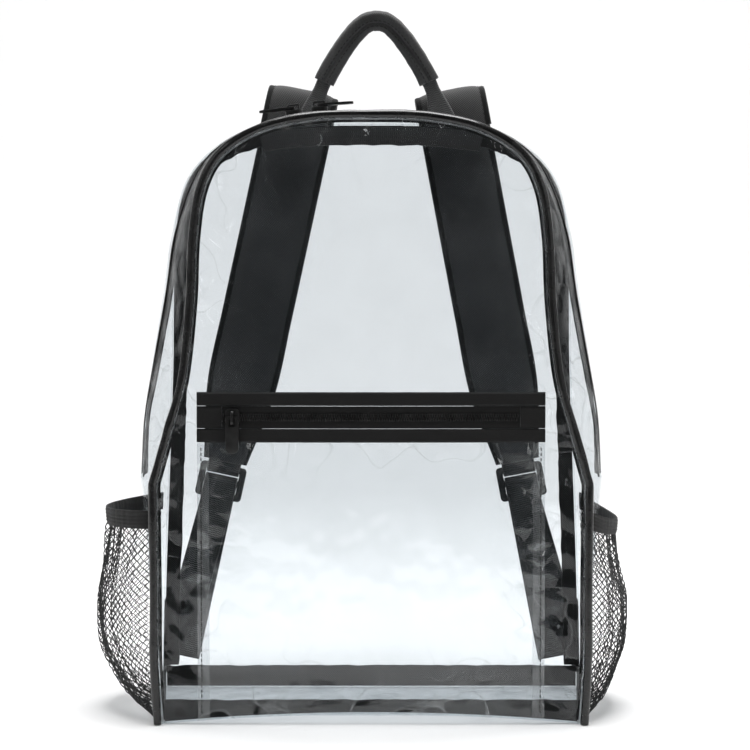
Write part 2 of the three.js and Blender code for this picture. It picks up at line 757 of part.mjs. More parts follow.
function buildPocket() {
  const rows = steps(5);
  const columns = steps(10);
  const sheet = (stand) =>
    rows.map((up) =>
      columns.map((across) => {
        const x = mix(-POCKET_HALF_WIDTH, POCKET_HALF_WIDTH, across);
        const z = mix(pocketBottom(x), pocketSheetTop - GAP, up);
        return vec(x, pocketY(x, z, stand), z);
      }),
    );
  add("pocket_panel", wall(sheet(VINYL_THICKNESS), sheet(0)), clearVinyl());

  const half = POCKET_HALF_WIDTH;
  const top = POCKET_ZIP_TOP;
  const low = pocketSheetTop;
  const strip = POCKET_STRIP_HEIGHT;
  const thick = POCKET_STRIP_THICKNESS;
  const tape = ZIP_TAPE_THICKNESS;
  add("pocket_zip_upper", frontStrip(-half, half, top - strip, top, thick), blackCloth());
  add("pocket_zip_lower", frontStrip(-half, half, low, low + strip, thick), blackCloth());
  const tapeLow = low + strip + GAP;
  const tapeTop = top - strip - GAP;
  const from = -half + POCKET_TAB_WIDTH + GAP;
  const to = half - POCKET_TAB_WIDTH - GAP;
  const middleZ = (tapeLow + tapeTop) / 2;
  const coil = ZIP_COIL_WIDTH / 2;
  const foot = coil + ZIP_COIL_SLOPE_WIDTH;
  const levels = [tapeLow, ...[-foot, -coil, coil, foot].map((z) => middleZ + z), tapeTop];
  const raised = [2, 3];
  const tapeGrid = (front) =>
    steps(9).map((share) => {
      const x = mix(from, to, share);
      return levels.map((z, k) => {
        const height = front ? tape + (raised.includes(k) ? ZIP_COIL_HEIGHT - tape : 0) : 0;
        return vec(x, frontY(x, z) - POCKET_SEAT - height, z);
      });
    });
  add("pocket_zip", wall(tapeGrid(true), tapeGrid(false)), blackCloth());
  add("pocket_zip_end_left", frontStrip(-half, from - GAP, tapeLow, tapeTop, thick), blackCloth());
  add("pocket_zip_end_right", frontStrip(to + GAP, half, tapeLow, tapeTop, thick), blackCloth());
  return middleZ;
}

// Solid that can be joined and cut, from a geometry, and back to one
function toManifold(geometry) {
  const bare = new THREE.BufferGeometry().setAttribute("position", geometry.getAttribute("position"));
  if (geometry.index) bare.setIndex(geometry.index);
  const merged = mergeVertices(bare, 1e-4);
  const mesh = new wasm.Mesh({
    numProp: 3,
    vertProperties: new Float32Array(merged.getAttribute("position").array),
    triVerts: new Uint32Array(merged.index.array),
  });
  return new wasm.Manifold(mesh);
}

function fromManifold(manifold) {
  const mesh = manifold.getMesh();
  const geometry = new THREE.BufferGeometry();
  geometry.setAttribute("position", new THREE.BufferAttribute(mesh.vertProperties, 3));
  geometry.setIndex(new THREE.BufferAttribute(mesh.triVerts, 1));
  geometry.computeVertexNormals();
  return geometry;
}

// Rectangle with rounded corners
function roundedRectangle(halfWidth, halfHeight, radius) {
  const shape = new THREE.Shape();
  const x = halfWidth - radius;
  const y = halfHeight - radius;
  shape.absarc(x, -y, radius, -Math.PI / 2, 0);
  shape.absarc(x, y, radius, 0, Math.PI / 2);
  shape.absarc(-x, y, radius, Math.PI / 2, Math.PI);
  shape.absarc(-x, -y, radius, Math.PI, 1.5 * Math.PI);
  shape.closePath();
  return shape;
}

// Slider lying on a coil: length along X, width along Y, height up from 0, with a bridge over it
function sliderGeometry() {
  const outline = roundedRectangle(SLIDER_LENGTH / 2, SLIDER_WIDTH / 2, SLIDER_CORNER);
  const plate = new THREE.ExtrudeGeometry(outline, {
    depth: SLIDER_HEIGHT,
    bevelEnabled: false,
    curveSegments: 3,
  });
  const arch = new THREE.Shape();
  const half = BRIDGE_LENGTH / 2;
  const base = SLIDER_HEIGHT - BRIDGE_SINK_DEPTH;
  const shoulder = BRIDGE_BAR * BRIDGE_SHOULDER_SHARE;
  const under = SLIDER_HEIGHT + BRIDGE_ROOM;
  arch.moveTo(-half, base);
  arch.lineTo(-half + BRIDGE_BAR, base);
  arch.lineTo(-half + BRIDGE_BAR, under);
  arch.lineTo(half - BRIDGE_BAR, under);
  arch.lineTo(half - BRIDGE_BAR, base);
  arch.lineTo(half, base);
  arch.lineTo(half, under + shoulder);
  arch.lineTo(half - BRIDGE_BAR, under + BRIDGE_BAR);
  arch.lineTo(-half + BRIDGE_BAR, under + BRIDGE_BAR);
  arch.lineTo(-half, under + shoulder);
  const bridge = new THREE.ExtrudeGeometry(arch, { depth: BRIDGE_WIDTH, bevelEnabled: false });
  bridge.rotateX(Math.PI / 2);
  bridge.translate(0, BRIDGE_WIDTH / 2, 0);
  return fromManifold(toManifold(plate).add(toManifold(bridge)));
}

// Pull lying along +X from its hinge, which is the Y axis through the origin
function pullGeometry() {
  const half = PULL_WIDTH / 2;
  const round = half - PULL_FLAT_WIDTH;
  const start = -PULL_END_BAR / 2;
  const outline = new THREE.Shape();
  outline.moveTo(start, -half);
  outline.lineTo(PULL_LENGTH - round, -half);
  outline.absarc(PULL_LENGTH - round, -half + round, round, -Math.PI / 2, 0);
  outline.absarc(PULL_LENGTH - round, half - round, round, 0, Math.PI / 2);
  outline.lineTo(start, half);
  outline.closePath();
  const eyeStart = PULL_END_BAR / 2;
  const eye = new THREE.Path();
  eye.moveTo(eyeStart, -PULL_EYE_WIDTH / 2);
  eye.lineTo(eyeStart, PULL_EYE_WIDTH / 2);
  eye.lineTo(eyeStart + PULL_EYE_LENGTH, PULL_EYE_WIDTH / 2);
  eye.lineTo(eyeStart + PULL_EYE_LENGTH, -PULL_EYE_WIDTH / 2);
  eye.closePath();
  outline.holes.push(eye);
  const plate = new THREE.ExtrudeGeometry(outline, {
    depth: PULL_THICKNESS,
    bevelEnabled: false,
    curveSegments: 4,
  });
  plate.translate(0, 0, -PULL_THICKNESS / 2);
  return plate;
}

const hingeHeight = SLIDER_HEIGHT + BRIDGE_ROOM / 2;

// Slider and pull set on a zip: the pull lies along the frame's X, Z points off the zip
function addSlider(name, frame) {
  const slider = add(`${name}_slider`, sliderGeometry(), paintedMetal());
  const pull = add(`${name}_pull`, pullGeometry(), paintedMetal());
  slider.applyMatrix4(frame);
  const hinge = new THREE.Matrix4().makeTranslation(0, 0, hingeHeight);
  pull.applyMatrix4(frame.clone().multiply(hinge));
}

function frameOf(origin, along, off) {
  const across = new THREE.Vector3().crossVectors(off, along).normalize();
  const square = new THREE.Vector3().crossVectors(across, off).normalize();
  return new THREE.Matrix4().makeBasis(square, across, off).setPosition(origin);
}

function buildSliders(pocketZipZ) {
  for (const [name, side] of [
    ["left", -1],
    ["right", 1],
  ]) {
    const x = MAIN_SLIDERS_X + (side * MAIN_SLIDERS_SPACING) / 2;
    const mirrored = placeWhile(({ frontX, backX }) => frontX + backX > 2 * Math.abs(x));
    const near = x > 0 ? mirrored : END_PLACE - mirrored;
    const out = outward(near);
    const on = gussetPoint(near, 0.5).addScaledVector(out, ZIP_COIL_HEIGHT - VINYL_THICKNESS);
    addSlider(`main_zip_${name}`, frameOf(on, vec(out.z * side, 0, -out.x * side), out));
  }
  const x = POCKET_SLIDER_X;
  const y = frontY(x, pocketZipZ) - POCKET_SEAT - ZIP_COIL_HEIGHT - GAP;
  addSlider("pocket_zip", frameOf(vec(x, y, pocketZipZ), vec(0, 0, -1), vec(0, -1, 0)));
}

// Net pockets on the side panels, each with an elastic band round its rim
const NET_EDGE_SHARE = 0.02;

function netPoint(side, up, round) {
  const column = side < 0 ? "left" : "right";
  const arch = Math.sin(Math.PI * round) ** NET_ARCH_POWER;
  const droop = NET_DROOP_HEIGHT[column] * arch * up ** 2;
  const along = placeAtHeight(up * NET_POCKET_HEIGHT - droop);
  const full = smooth(NET_ROWS, column, netPlace(up)) * NET_BULGE_WIDTH;
  const place = side > 0 ? along : END_PLACE - along;
  const share = mix(NET_EDGE_SHARE, 1 - NET_EDGE_SHARE, round);
  return gussetPoint(place, share, NET_SEAT + full * arch);
}

function netPlace(up) {
  let k = 0;
  while (k + 2 < NET_ROWS.length && NET_ROWS[k + 1].up <= up) {
    k += 1;
  }
  const share = (up - NET_ROWS[k].up) / (NET_ROWS[k + 1].up - NET_ROWS[k].up);
  return Math.min(k + share, NET_ROWS.length - 1);
}

function buildNets() {
  const rounds = steps(NET_CELLS_ROUND);
  for (const [name, side] of [
    ["left", -1],
    ["right", 1],
  ]) {
    const ups = steps(NET_CELLS_UP).map((share) => mix(NET_FOOT_SHARE, 1, share));
    const face = ups.map((up) => rounds.map((round) => netPoint(side, up, round)));
    const cloth = netWall(offsetGrid(face, NET_THICKNESS), face, NET_STRAND_SHARE);
    add(`net_pocket_${name}`, cloth, blackNet());
    const rim = 1 + GAP / NET_POCKET_HEIGHT;
    const rimTop = rim + NET_BAND_HEIGHT / NET_POCKET_HEIGHT;
    const bandGrid = [rim, rimTop].map((up) => rounds.map((round) => netPoint(side, up, round)));
    const bandWall = wall(offsetGrid(bandGrid, NET_BAND_THICKNESS), bandGrid);
    add(`net_pocket_band_${name}`, bandWall, blackCloth());
  }
}

// Carry handle: webbing folded to a core inside a wrapped grip, with its flat feet on the back
function handlePoint(place) {
  const last = HANDLE_ROWS.length - 1;
  const side = place <= last ? -1 : 1;
  const along = place <= last ? place : 2 * last - place;
  const across = smooth(HANDLE_ROWS, "across", along, -1, -1) * HANDLE_HALF_SPAN;
  const up = smooth(HANDLE_ROWS, "up", along, -1, 1) * HANDLE_RISE;
  const y = BODY_DEPTH + GAP + HANDLE_WEB_THICKNESS / 2;
  return vec(HANDLE_CENTRE_X + side * across, y, BODY_HEIGHT - HANDLE_FOOT_DROP + up);
}

function handleFrame(place) {
  const step = 0.05;
  const last = 2 * (HANDLE_ROWS.length - 1);
  const a = handlePoint(Math.max(place - step, 0));
  const b = handlePoint(Math.min(place + step, last));
  const along = b.sub(a).normalize();
  const rise = (handlePoint(place).z - BODY_HEIGHT + HANDLE_FOOT_DROP) / HANDLE_RISE;
  const tilt = THREE.MathUtils.degToRad(HANDLE_TILT) * Math.max(rise, 0) ** 3;
  const across = vec(along.z, 0, -along.x).applyAxisAngle(along, tilt);
  const through = new THREE.Vector3().crossVectors(along, across);
  return { centre: handlePoint(place), across, through };
}

function buildHandle() {
  const last = 2 * (HANDLE_ROWS.length - 1);
  const wrapFrom = handleWrapPlace();
  const shares = steps(last * 2).map((share) => share * last);
  const webLoops = shares.map((place) => {
    const { centre, across, through } = handleFrame(place);
    const end = Math.min(place, last - place);
    const foldRun = wrapFrom - HANDLE_FOLD_START - HANDLE_FOLD_LEAD;
    const folded = Math.min(Math.max((end - HANDLE_FOLD_START) / foldRun, 0), 1);
    const width = mix(HANDLE_WEB_WIDTH, HANDLE_CORE_WIDTH, folded);
    const thick = mix(HANDLE_WEB_THICKNESS, HANDLE_CORE_THICKNESS, folded);
    return band(centre, across, through, width, thick);
  });
  add("handle_webbing", loft(webLoops), blackCloth());
  const inside = shares.filter((place) => place > wrapFrom && place < last - wrapFrom);
  const wrapPlaces = [wrapFrom, ...inside, last - wrapFrom];
  const loops = (width, thick, cut) =>
    wrapPlaces.map((place) => {
      const { centre, across, through } = handleFrame(place);
      return band(centre, across, through, width, thick, cut);
    });
  const outer = loops(HANDLE_WRAP_WIDTH, HANDLE_WRAP_THICKNESS, HANDLE_WRAP_CUT_WIDTH);
  const room = HANDLE_WRAP_ROOM_WIDTH;
  const core = [HANDLE_CORE_WIDTH + room, HANDLE_CORE_THICKNESS + room];
  const inner = loops(...core, HANDLE_CORE_CUT_WIDTH);
  add("handle_wrap", sleeve(outer, inner), blackCloth());
}

function handleWrapPlace() {
  const step = 0.1;
  const start = BODY_HEIGHT - HANDLE_FOOT_DROP + HANDLE_RISE * HANDLE_WRAP_FROM;
  let place = 0;
  while (handlePoint(place).z < start) {
    place += step;
  }
  return place;
}

// Shoulder straps behind the back panel: padded run, ladder lock, webbing and corner tab
function strapX(side, z) {
  const share = (STRAP_TOP_Z - z) / (STRAP_TOP_Z - STRAP_END_Z);
  return mix(HANDLE_CENTRE_X, 0, share) + side * mix(STRAP_TOP_X, STRAP_END_X, share);
}

const handleDepth = (HANDLE_WEB_THICKNESS + HANDLE_CORE_THICKNESS) / 2;
const strapSeat = 2 * GAP + handleDepth + STRAP_THICKNESS / 2;

function strapCentre(side, place) {
  const out = smooth(STRAP_ROWS, "out", place) * STRAP_STANDOFF;
  const down = smooth(STRAP_ROWS, "down", place) * (STRAP_TOP_Z - STRAP_END_Z);
  const z = STRAP_TOP_Z - STRAP_THICKNESS / 2 - down;
  return vec(strapX(side, z), BODY_DEPTH + strapSeat + out, z);
}

function strapFrame(side, place) {
  const step = 0.05;
  const last = STRAP_ROWS.length - 1;
  const a = strapCentre(side, Math.max(place - step, 0));
  const b = strapCentre(side, Math.min(place + step, last));
  const along = b.sub(a).normalize();
  const spread = side * (STRAP_END_X - STRAP_TOP_X) - HANDLE_CENTRE_X;
  const across = vec(1, 0, spread / (STRAP_TOP_Z - STRAP_END_Z)).normalize();
  const through = new THREE.Vector3().crossVectors(along, across);
  return { centre: strapCentre(side, place), along, across, through };
}

function ribbon(points, acrosses, width, thickness) {
  const loops = points.map((point, k) => {
    const a = points[Math.max(k - 1, 0)];
    const b = points[Math.min(k + 1, points.length - 1)];
    const along = b.clone().sub(a).normalize();
    const across = acrosses[k];
    const square = across.clone().addScaledVector(along, -across.dot(along)).normalize();
    const through = new THREE.Vector3().crossVectors(along, square);
    return band(point, square, through, width, thickness);
  });
  return loft(loops);
}

function ladderLock() {
  const plate = new THREE.ExtrudeGeometry(
    roundedRectangle(BUCKLE_WIDTH / 2, BUCKLE_HEIGHT / 2, BUCKLE_CORNER),
    { depth: BUCKLE_THICKNESS, bevelEnabled: false, curveSegments: 2 },
  );
  plate.translate(0, 0, -BUCKLE_THICKNESS / 2);
  const slotHeight = (BUCKLE_HEIGHT - 3 * BUCKLE_BAR) / 2;
  const slot = new THREE.BoxGeometry(BUCKLE_WIDTH - 2 * BUCKLE_BAR, slotHeight, 2 * BUCKLE_THICKNESS);
  const rise = (BUCKLE_BAR + slotHeight) / 2;
  const upper = toManifold(slot.clone().translate(0, rise, 0));
  const lower = toManifold(slot.translate(0, -rise, 0));
  return fromManifold(toManifold(plate).subtract(upper).subtract(lower));
}

// Turn of a ribbon round a bar: up on one side, over the top and down on the other
function turnRound(centre, down, back, radius, reachFront, reachBack, over = 1) {
  const start = centre.clone().addScaledVector(down, reachFront * over);
  const points = [start.addScaledVector(back, -radius)];
  for (const share of steps(4)) {
    const turn = Math.PI * share;
    points.push(
      centre
        .clone()
        .addScaledVector(back, -radius * Math.cos(turn))
        .addScaledVector(down, -over * radius * Math.sin(turn)),
    );
  }
  points.push(centre.clone().addScaledVector(down, reachBack * over).addScaledVector(back, radius));
  return points;
}

// Fabric tab sewn into the back seam at a bottom corner, narrowing to the webbing's end
function addTab(name, side) {
  const seam = (z) => vec(side * row(placeAtHeight(z)).backX, 0, z);
  const low = seam(TAB_LOW);
  const high = seam(TAB_LOW + TAB_SEAM_LENGTH);
  const tip = vec(side * (row(0).backX - TAB_REACH), 0, TAB_TIP_Z);
  const down = low.clone().lerp(high, TAB_LEAN_SHARE).sub(tip).normalize();
  const across = vec(-down.z, 0, down.x);
  const inner = tip.clone().addScaledVector(across, (-side * TAB_TIP_WIDTH) / 2);
  const outer = tip.clone().addScaledVector(across, (side * TAB_TIP_WIDTH) / 2);
  const near = BODY_DEPTH + GAP;
  const corners = (y) => [
    [low, high],
    [inner, outer],
  ].map((pair) => pair.map((point) => vec(point.x, y, point.z)));
  add(`strap_tab_${name}`, wall(corners(near), corners(near + TAB_THICKNESS)), blackCloth());
  const point = tip.clone().setY(near + TAB_THICKNESS + GAP + WEBBING_THICKNESS / 2);
  return { point, down, across };
}

function buildStraps() {
  const last = STRAP_ROWS.length - 1;
  for (const [name, side] of [
    ["left", -1],
    ["right", 1],
  ]) {
    const loops = steps(last * 2).map((share) => {
      const { centre, across, through } = strapFrame(side, share * last);
      const width = STRAP_WIDTH * smooth(STRAP_ROWS, "width", share * last);
      return band(centre, across, through, width, STRAP_THICKNESS, STRAP_EDGE_CUT_WIDTH);
    });
    add(`shoulder_strap_${name}`, loft(loops), strapCloth());

    const { centre, along, across, through } = strapFrame(side, last);
    const barCorner = Math.hypot(BUCKLE_THICKNESS, BUCKLE_BAR) / 2;
    const turnRadius = barCorner / Math.cos(Math.PI / 8) + GAP + WEBBING_THICKNESS / 2;
    const loopDrop = BUCKLE_BAR / 2 + LOCK_LOOP_LENGTH;
    const buckleUp = BUCKLE_HEIGHT / 2 - BUCKLE_BAR / 2;
    const topBar = centre.clone().addScaledVector(along, loopDrop);
    const lockCentre = topBar.clone().addScaledVector(along, buckleUp);
    const lock = add(`ladder_lock_${name}`, ladderLock(), blackPlastic());
    const up = along.clone().negate();
    const lockFrame = new THREE.Matrix4().makeBasis(across, up, across.clone().cross(up));
    lock.applyMatrix4(lockFrame.setPosition(lockCentre));

    const hang = turnRound(topBar, along, through, turnRadius, loopDrop - GAP, loopDrop - GAP, -1);
    const hangAcross = hang.map(() => across);
    add(`lock_loop_${name}`, ribbon(hang, hangAcross, WEBBING_WIDTH, WEBBING_THICKNESS), blackCloth());

    const tip = addTab(name, side);
    const lead = BUCKLE_HEIGHT / 2 + WEBBING_LEAD_LENGTH;
    const run = turnRound(lockCentre, along, through, turnRadius, TAIL_LENGTH, lead);
    const lap = tip.down.clone().multiplyScalar(TAB_LAP);
    const runAcross = run.map(() => across);
    run.push(tip.point.clone(), tip.point.clone().add(lap));
    runAcross.push(tip.across, tip.across);
    add(`strap_webbing_${name}`, ribbon(run, runAcross, WEBBING_WIDTH, WEBBING_THICKNESS), blackCloth());
  }
}

buildPanels();
buildGusset();
buildSidesAndBase();
buildPiping();
buildBindings();
buildTopStrip();
buildSliders(buildPocket());
buildNets();
buildHandle();
buildStraps();

const bounds = new THREE.Box3().setFromObject(pack);
const middle = bounds.getCenter(new THREE.Vector3());
pack.position.set(-middle.x, -middle.y, -bounds.min.z);

export default pack;
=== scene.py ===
"""Looks of the clear backpack: wrinkled vinyl sheets, glossy piping, woven bindings, coil zips,
knotted net pockets, a wrapped carry handle and padded straps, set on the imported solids.
Metres, +Z up, the front faces -Y."""
import math

import bmesh
import bpy
import numpy as np
from mathutils import Matrix, Vector
from mathutils.geometry import delaunay_2d_cdt


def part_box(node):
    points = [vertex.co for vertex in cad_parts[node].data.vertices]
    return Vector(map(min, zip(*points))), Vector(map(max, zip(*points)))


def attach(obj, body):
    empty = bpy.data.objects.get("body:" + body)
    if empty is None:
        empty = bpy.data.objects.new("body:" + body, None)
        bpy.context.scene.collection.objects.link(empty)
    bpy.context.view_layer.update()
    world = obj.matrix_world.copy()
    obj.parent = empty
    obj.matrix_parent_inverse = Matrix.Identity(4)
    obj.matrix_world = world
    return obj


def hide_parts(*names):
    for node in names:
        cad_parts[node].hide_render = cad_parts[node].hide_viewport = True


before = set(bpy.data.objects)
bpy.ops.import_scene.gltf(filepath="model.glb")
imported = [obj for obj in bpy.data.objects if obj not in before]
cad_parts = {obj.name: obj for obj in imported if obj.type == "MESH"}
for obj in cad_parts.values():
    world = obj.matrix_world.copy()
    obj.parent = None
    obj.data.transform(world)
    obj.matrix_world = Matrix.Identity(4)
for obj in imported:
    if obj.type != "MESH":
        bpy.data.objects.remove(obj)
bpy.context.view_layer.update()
MM = 0.001

# Camera, from the photograph's eye level and the spread of the seams
CAMERA_PLACE = (0.0094, -1.518, 0.300)
CAMERA_TILT = 2.2
CAMERA_LENS = 99.5
SENSOR_WIDTH = 36

# Body sizes, the same as the solids have
BODY_HEIGHT = 430 * MM
FRONT_HALF_WIDTH = 150 * MM
BACK_HALF_WIDTH = 160 * MM
BODY_DEPTH = 140 * MM
FRONT_CROWN = 6 * MM
GUSSET_BULGE = 20 * MM
BASE_LIFT = 7 * MM
BASE_LIFT_DEPTH = 38 * MM
VINYL = 1 * MM
GAP = 0.3 * MM

OUTLINE = [
    # half width and height of the front seam, of the back seam, and bulge between them
    dict(front=0.977, front_up=0, back=1, back_up=0, bulge=0),
    dict(front=0.993, front_up=0.105, back=0.994, back_up=0.105, bulge=0.25),
    dict(front=0.993, front_up=0.209, back=0.987, back_up=0.209, bulge=0.45),
    dict(front=0.997, front_up=0.391, back=0.969, back_up=0.391, bulge=0.8),
    dict(front=0.923, front_up=0.481, back=0.959, back_up=0.488, bulge=1),
    dict(front=0.857, front_up=0.565, back=0.95, back_up=0.593, bulge=0.95),
    dict(front=0.82, front_up=0.686, back=0.947, back_up=0.709, bulge=0.65),
    dict(front=0.807, front_up=0.789, back=0.94, back_up=0.802, bulge=0.4),
    dict(front=0.77, front_up=0.87, back=0.887, back_up=0.893, bulge=0.16),
    dict(front=0.68, front_up=0.924, back=0.762, back_up=0.951, bulge=0.18),
    dict(front=0.5, front_up=0.962, back=0.55, back_up=0.986, bulge=0.24),
    dict(front=0.263, front_up=0.98, back=0.281, back_up=0.998, bulge=0.32),
    dict(front=0, front_up=0.983, back=0, back_up=1, bulge=0.35),
]
CORNER_ROW = 3
APEX = len(OUTLINE) - 1
END = 2 * APEX

PIPING_RADIUS = 3.2 * MM
SEAM_BINDING_WIDTH = 11 * MM
SEAM_BINDING_THICKNESS = 1.6 * MM
BASE_BINDING_TOP = 17 * MM
ZIP_WIDTH = 30 * MM
ZIP_LAP = 3 * MM
ZIP_COIL_HEIGHT = 1.8 * MM

POCKET_HALF_WIDTH = 121 * MM
POCKET_ZIP_TOP = 233 * MM
POCKET_ZIP_HEIGHT = 35 * MM
POCKET_STRIP_HEIGHT = 9.5 * MM
POCKET_TAB_WIDTH = 17.5 * MM
POCKET_FULLNESS = 2.5 * MM
POCKET_SEAT = 0.7 * MM

NET_POCKET_HEIGHT = 137 * MM
NET_DROOP_HEIGHT = {-1: 3 * MM, 1: 10 * MM}
NET_BAND_HEIGHT = 13 * MM
NET_FULLNESS = 40 * MM
NET_SEAT = 0.5 * MM
NET_EDGE_SHARE = 0.02
NET_ROWS = [
    dict(up=0, left=0.1, right=0.1),
    dict(up=0.07, left=0.5, right=0.34),
    dict(up=0.2, left=0.74, right=0.5),
    dict(up=0.36, left=0.92, right=0.6),
    dict(up=0.6, left=0.89, right=0.56),
    dict(up=0.8, left=0.73, right=0.38),
    dict(up=1, left=0.6, right=0.27),
]

HANDLE_CENTRE_X = 4 * MM
HANDLE_HALF_SPAN = 48 * MM
HANDLE_RISE = 87 * MM
HANDLE_FOOT_DROP = 9 * MM
HANDLE_WEB_WIDTH = 25 * MM
HANDLE_WEB_THICKNESS = 2 * MM
HANDLE_CORE_WIDTH = 11 * MM
HANDLE_CORE_THICKNESS = 3.6 * MM
HANDLE_WRAP_WIDTH = 15.5 * MM
HANDLE_WRAP_THICKNESS = 8 * MM
HANDLE_WRAP_FROM = 0.47
HANDLE_TILT = 35
HANDLE_ROWS = [
    dict(across=1.06, up=0),
    dict(across=1, up=0.21),
    dict(across=0.83, up=0.47),
    dict(across=0.61, up=0.69),
    dict(across=0.38, up=0.87),
    dict(across=0.18, up=0.975),
    dict(across=0, up=1),
]
TOP_STRIP_HALF_WIDTH = 86 * MM
TOP_STRIP_HEIGHT = 15 * MM

STRAP_WIDTH = 54 * MM
STRAP_THICKNESS = 8 * MM
STRAP_TOP_X = 55 * MM
STRAP_END_X = 112 * MM
STRAP_TOP_Z = 458 * MM
STRAP_END_Z = 176 * MM
STRAP_STANDOFF = 19 * MM
WEBBING_WIDTH = 25 * MM
WEBBING_THICKNESS = 1.6 * MM
TAIL_LENGTH = 138 * MM
BUCKLE_HEIGHT = 26.5 * MM
BUCKLE_THICKNESS = 3 * MM
BUCKLE_BAR = 5 * MM
LOCK_LOOP_LENGTH = 2.5 * MM
STRAP_ROWS = [
    dict(out=0, down=0.1, width=1),
    dict(out=0.02, down=0.045, width=1),
    dict(out=0.15, down=0.012, width=1),
    dict(out=0.44, down=0, width=1),
    dict(out=0.73, down=0.012, width=1),
    dict(out=0.88, down=0.045, width=1),
    dict(out=0.96, down=0.1, width=1),
    dict(out=1, down=0.22, width=1),
    dict(out=0.97, down=0.4, width=1),
    dict(out=0.85, down=0.6, width=1),
    dict(out=0.68, down=0.8, width=0.98),
    dict(out=0.5, down=1, width=0.62),
]

# The solids were drawn from the middle of the front seam; the back panel says where that is now
back_low, back_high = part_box("back_panel")
ORIGIN = np.array([(back_low.x + back_high.x) / 2, back_high.y - BODY_DEPTH, back_low.z])
SIDES = (("left", -1), ("right", 1))


def column(rows, name):
    return np.array([row[name] for row in rows], float)


def smooth(values, place, sharp=-1, mirror=0):
    """Smooth value through a column of a table at each place, with a corner at the sharp row."""
    place = np.asarray(place, float)
    last = len(values) - 1
    i = np.clip(np.floor(place).astype(int), 0, last - 1)
    share = place - i
    here, there = values[i], values[i + 1]
    straight = (i == 0) | (i == sharp)
    before = np.where(straight, 2 * here - there, values[np.maximum(i - 1, 0)])
    inner = (i + 2 <= last) & (i + 1 != sharp)
    after = np.where(inner, values[np.minimum(i + 2, last)], 2 * there - here)
    if mirror:
        after = np.where(i + 1 == last, mirror * here, after)
    slope_here, slope_there = (there - before) / 2, (after - here) / 2
    cube = 2 * here - 2 * there + slope_here + slope_there
    square = 3 * (there - here) - 2 * slope_here - slope_there
    return ((cube * share + square) * share + slope_here) * share + here


def stack(x, y, z):
    return np.stack(np.broadcast_arrays(x, y, z), axis=-1).astype(float)


def unit(v):
    return v / np.maximum(np.linalg.norm(v, axis=-1, keepdims=True), 1e-12)


def mix(a, b, share):
    return a + (b - a) * share


def fade(x, low, high):
    """0 below low, 1 above high, smooth between."""
    share = np.clip((x - low) / (high - low), 0, 1)
    return share * share * (3 - 2 * share)


# Form of the body: seams, gusset and front, as the solids have them
def seam(place):
    place = np.asarray(place, float)
    side = np.where(place <= APEX, 1.0, -1.0)
    along = np.where(place <= APEX, place, END - place)

    def read(name, mirror):
        return smooth(column(OUTLINE, name), along, CORNER_ROW, mirror)

    return dict(
        front_x=side * read("front", -1) * FRONT_HALF_WIDTH,
        front_z=read("front_up", 1) * BODY_HEIGHT,
        back_x=side * read("back", -1) * BACK_HALF_WIDTH,
        back_z=read("back_up", 1) * BODY_HEIGHT,
        bulge=read("bulge", 1) * GUSSET_BULGE,
    )


def outward(place):
    step = 0.05
    a = seam(np.maximum(place - step, 0))
    b = seam(np.minimum(place + step, END))
    dx = b["front_x"] - a["front_x"] + b["back_x"] - a["back_x"]
    dz = b["front_z"] - a["front_z"] + b["back_z"] - a["back_z"]
    return unit(stack(dz, 0 * dz, -dx))


def front_y(x, z):
    wide = np.maximum(1 - (x / FRONT_HALF_WIDTH) ** 2, 0)
    return -FRONT_CROWN * wide * np.sin(math.pi * np.clip(z / BODY_HEIGHT, 0, 1))


def base_lift(x, y):
    near = np.maximum(1 - y / BASE_LIFT_DEPTH, 0)
    wide = np.maximum(1 - (x / FRONT_HALF_WIDTH) ** 2, 0)
    return BASE_LIFT * wide * near * near


def gusset_point(place, share, push=0.0):
    place, share, push = np.broadcast_arrays(
        np.asarray(place, float), np.asarray(share, float), np.asarray(push, float)
    )
    at = seam(place)
    inside = VINYL + GAP
    point = stack(
        mix(at["front_x"], at["back_x"], share),
        mix(front_y(at["front_x"], at["front_z"]) + inside, BODY_DEPTH - inside, share),
        mix(at["front_z"], at["back_z"], share),
    )
    out = at["bulge"] * np.sin(math.pi * share) + push
    return point + outward(place) * out[..., None]


HEIGHTS = np.linspace(0, APEX, 4001)
HEIGHT_OF = seam(HEIGHTS)["front_z"]


def place_at_height(z):
    """Place on the right side where the front seam is at a height."""
    return np.interp(z, HEIGHT_OF, HEIGHTS)


# Small irregular forms, all from fixed seeds
def waves(a, b, seed, shortest, longest, count=9):
    """Soft random ripple of about unit height over two coordinates."""
    rng = np.random.default_rng(seed)
    total = 0
    for _ in range(count):
        length = rng.uniform(shortest, longest)
        turn, phase = rng.uniform(0, math.tau, 2)
        run = a * math.cos(turn) + b * math.sin(turn)
        total = total + np.sin(math.tau * run / length + phase)
    return total / math.sqrt(count)


def crease(a, b, start, end, width):
    """Sharp ridge of unit height along a line, dying out at its ends."""
    start, end = np.array(start), np.array(end)
    run = end - start
    length = np.hypot(*run)
    along = ((a - start[0]) * run[0] + (b - start[1]) * run[1]) / length
    off = ((a - start[0]) * run[1] - (b - start[1]) * run[0]) / length
    reach = fade(along, -0.15 * length, 0.2 * length)
    reach = reach * (1 - fade(along, 0.7 * length, 1.1 * length))
    return reach / (1 + (off / width) ** 2)


# Meshes
def grid_faces(rows, columns, closed=False):
    last = columns if closed else columns - 1
    i, j = np.meshgrid(np.arange(rows - 1), np.arange(last), indexing="ij")
    k = (j + 1) % columns
    low, high = i * columns, (i + 1) * columns
    return np.stack([low + j, high + j, high + k, low + k], -1).reshape(-1, 4)


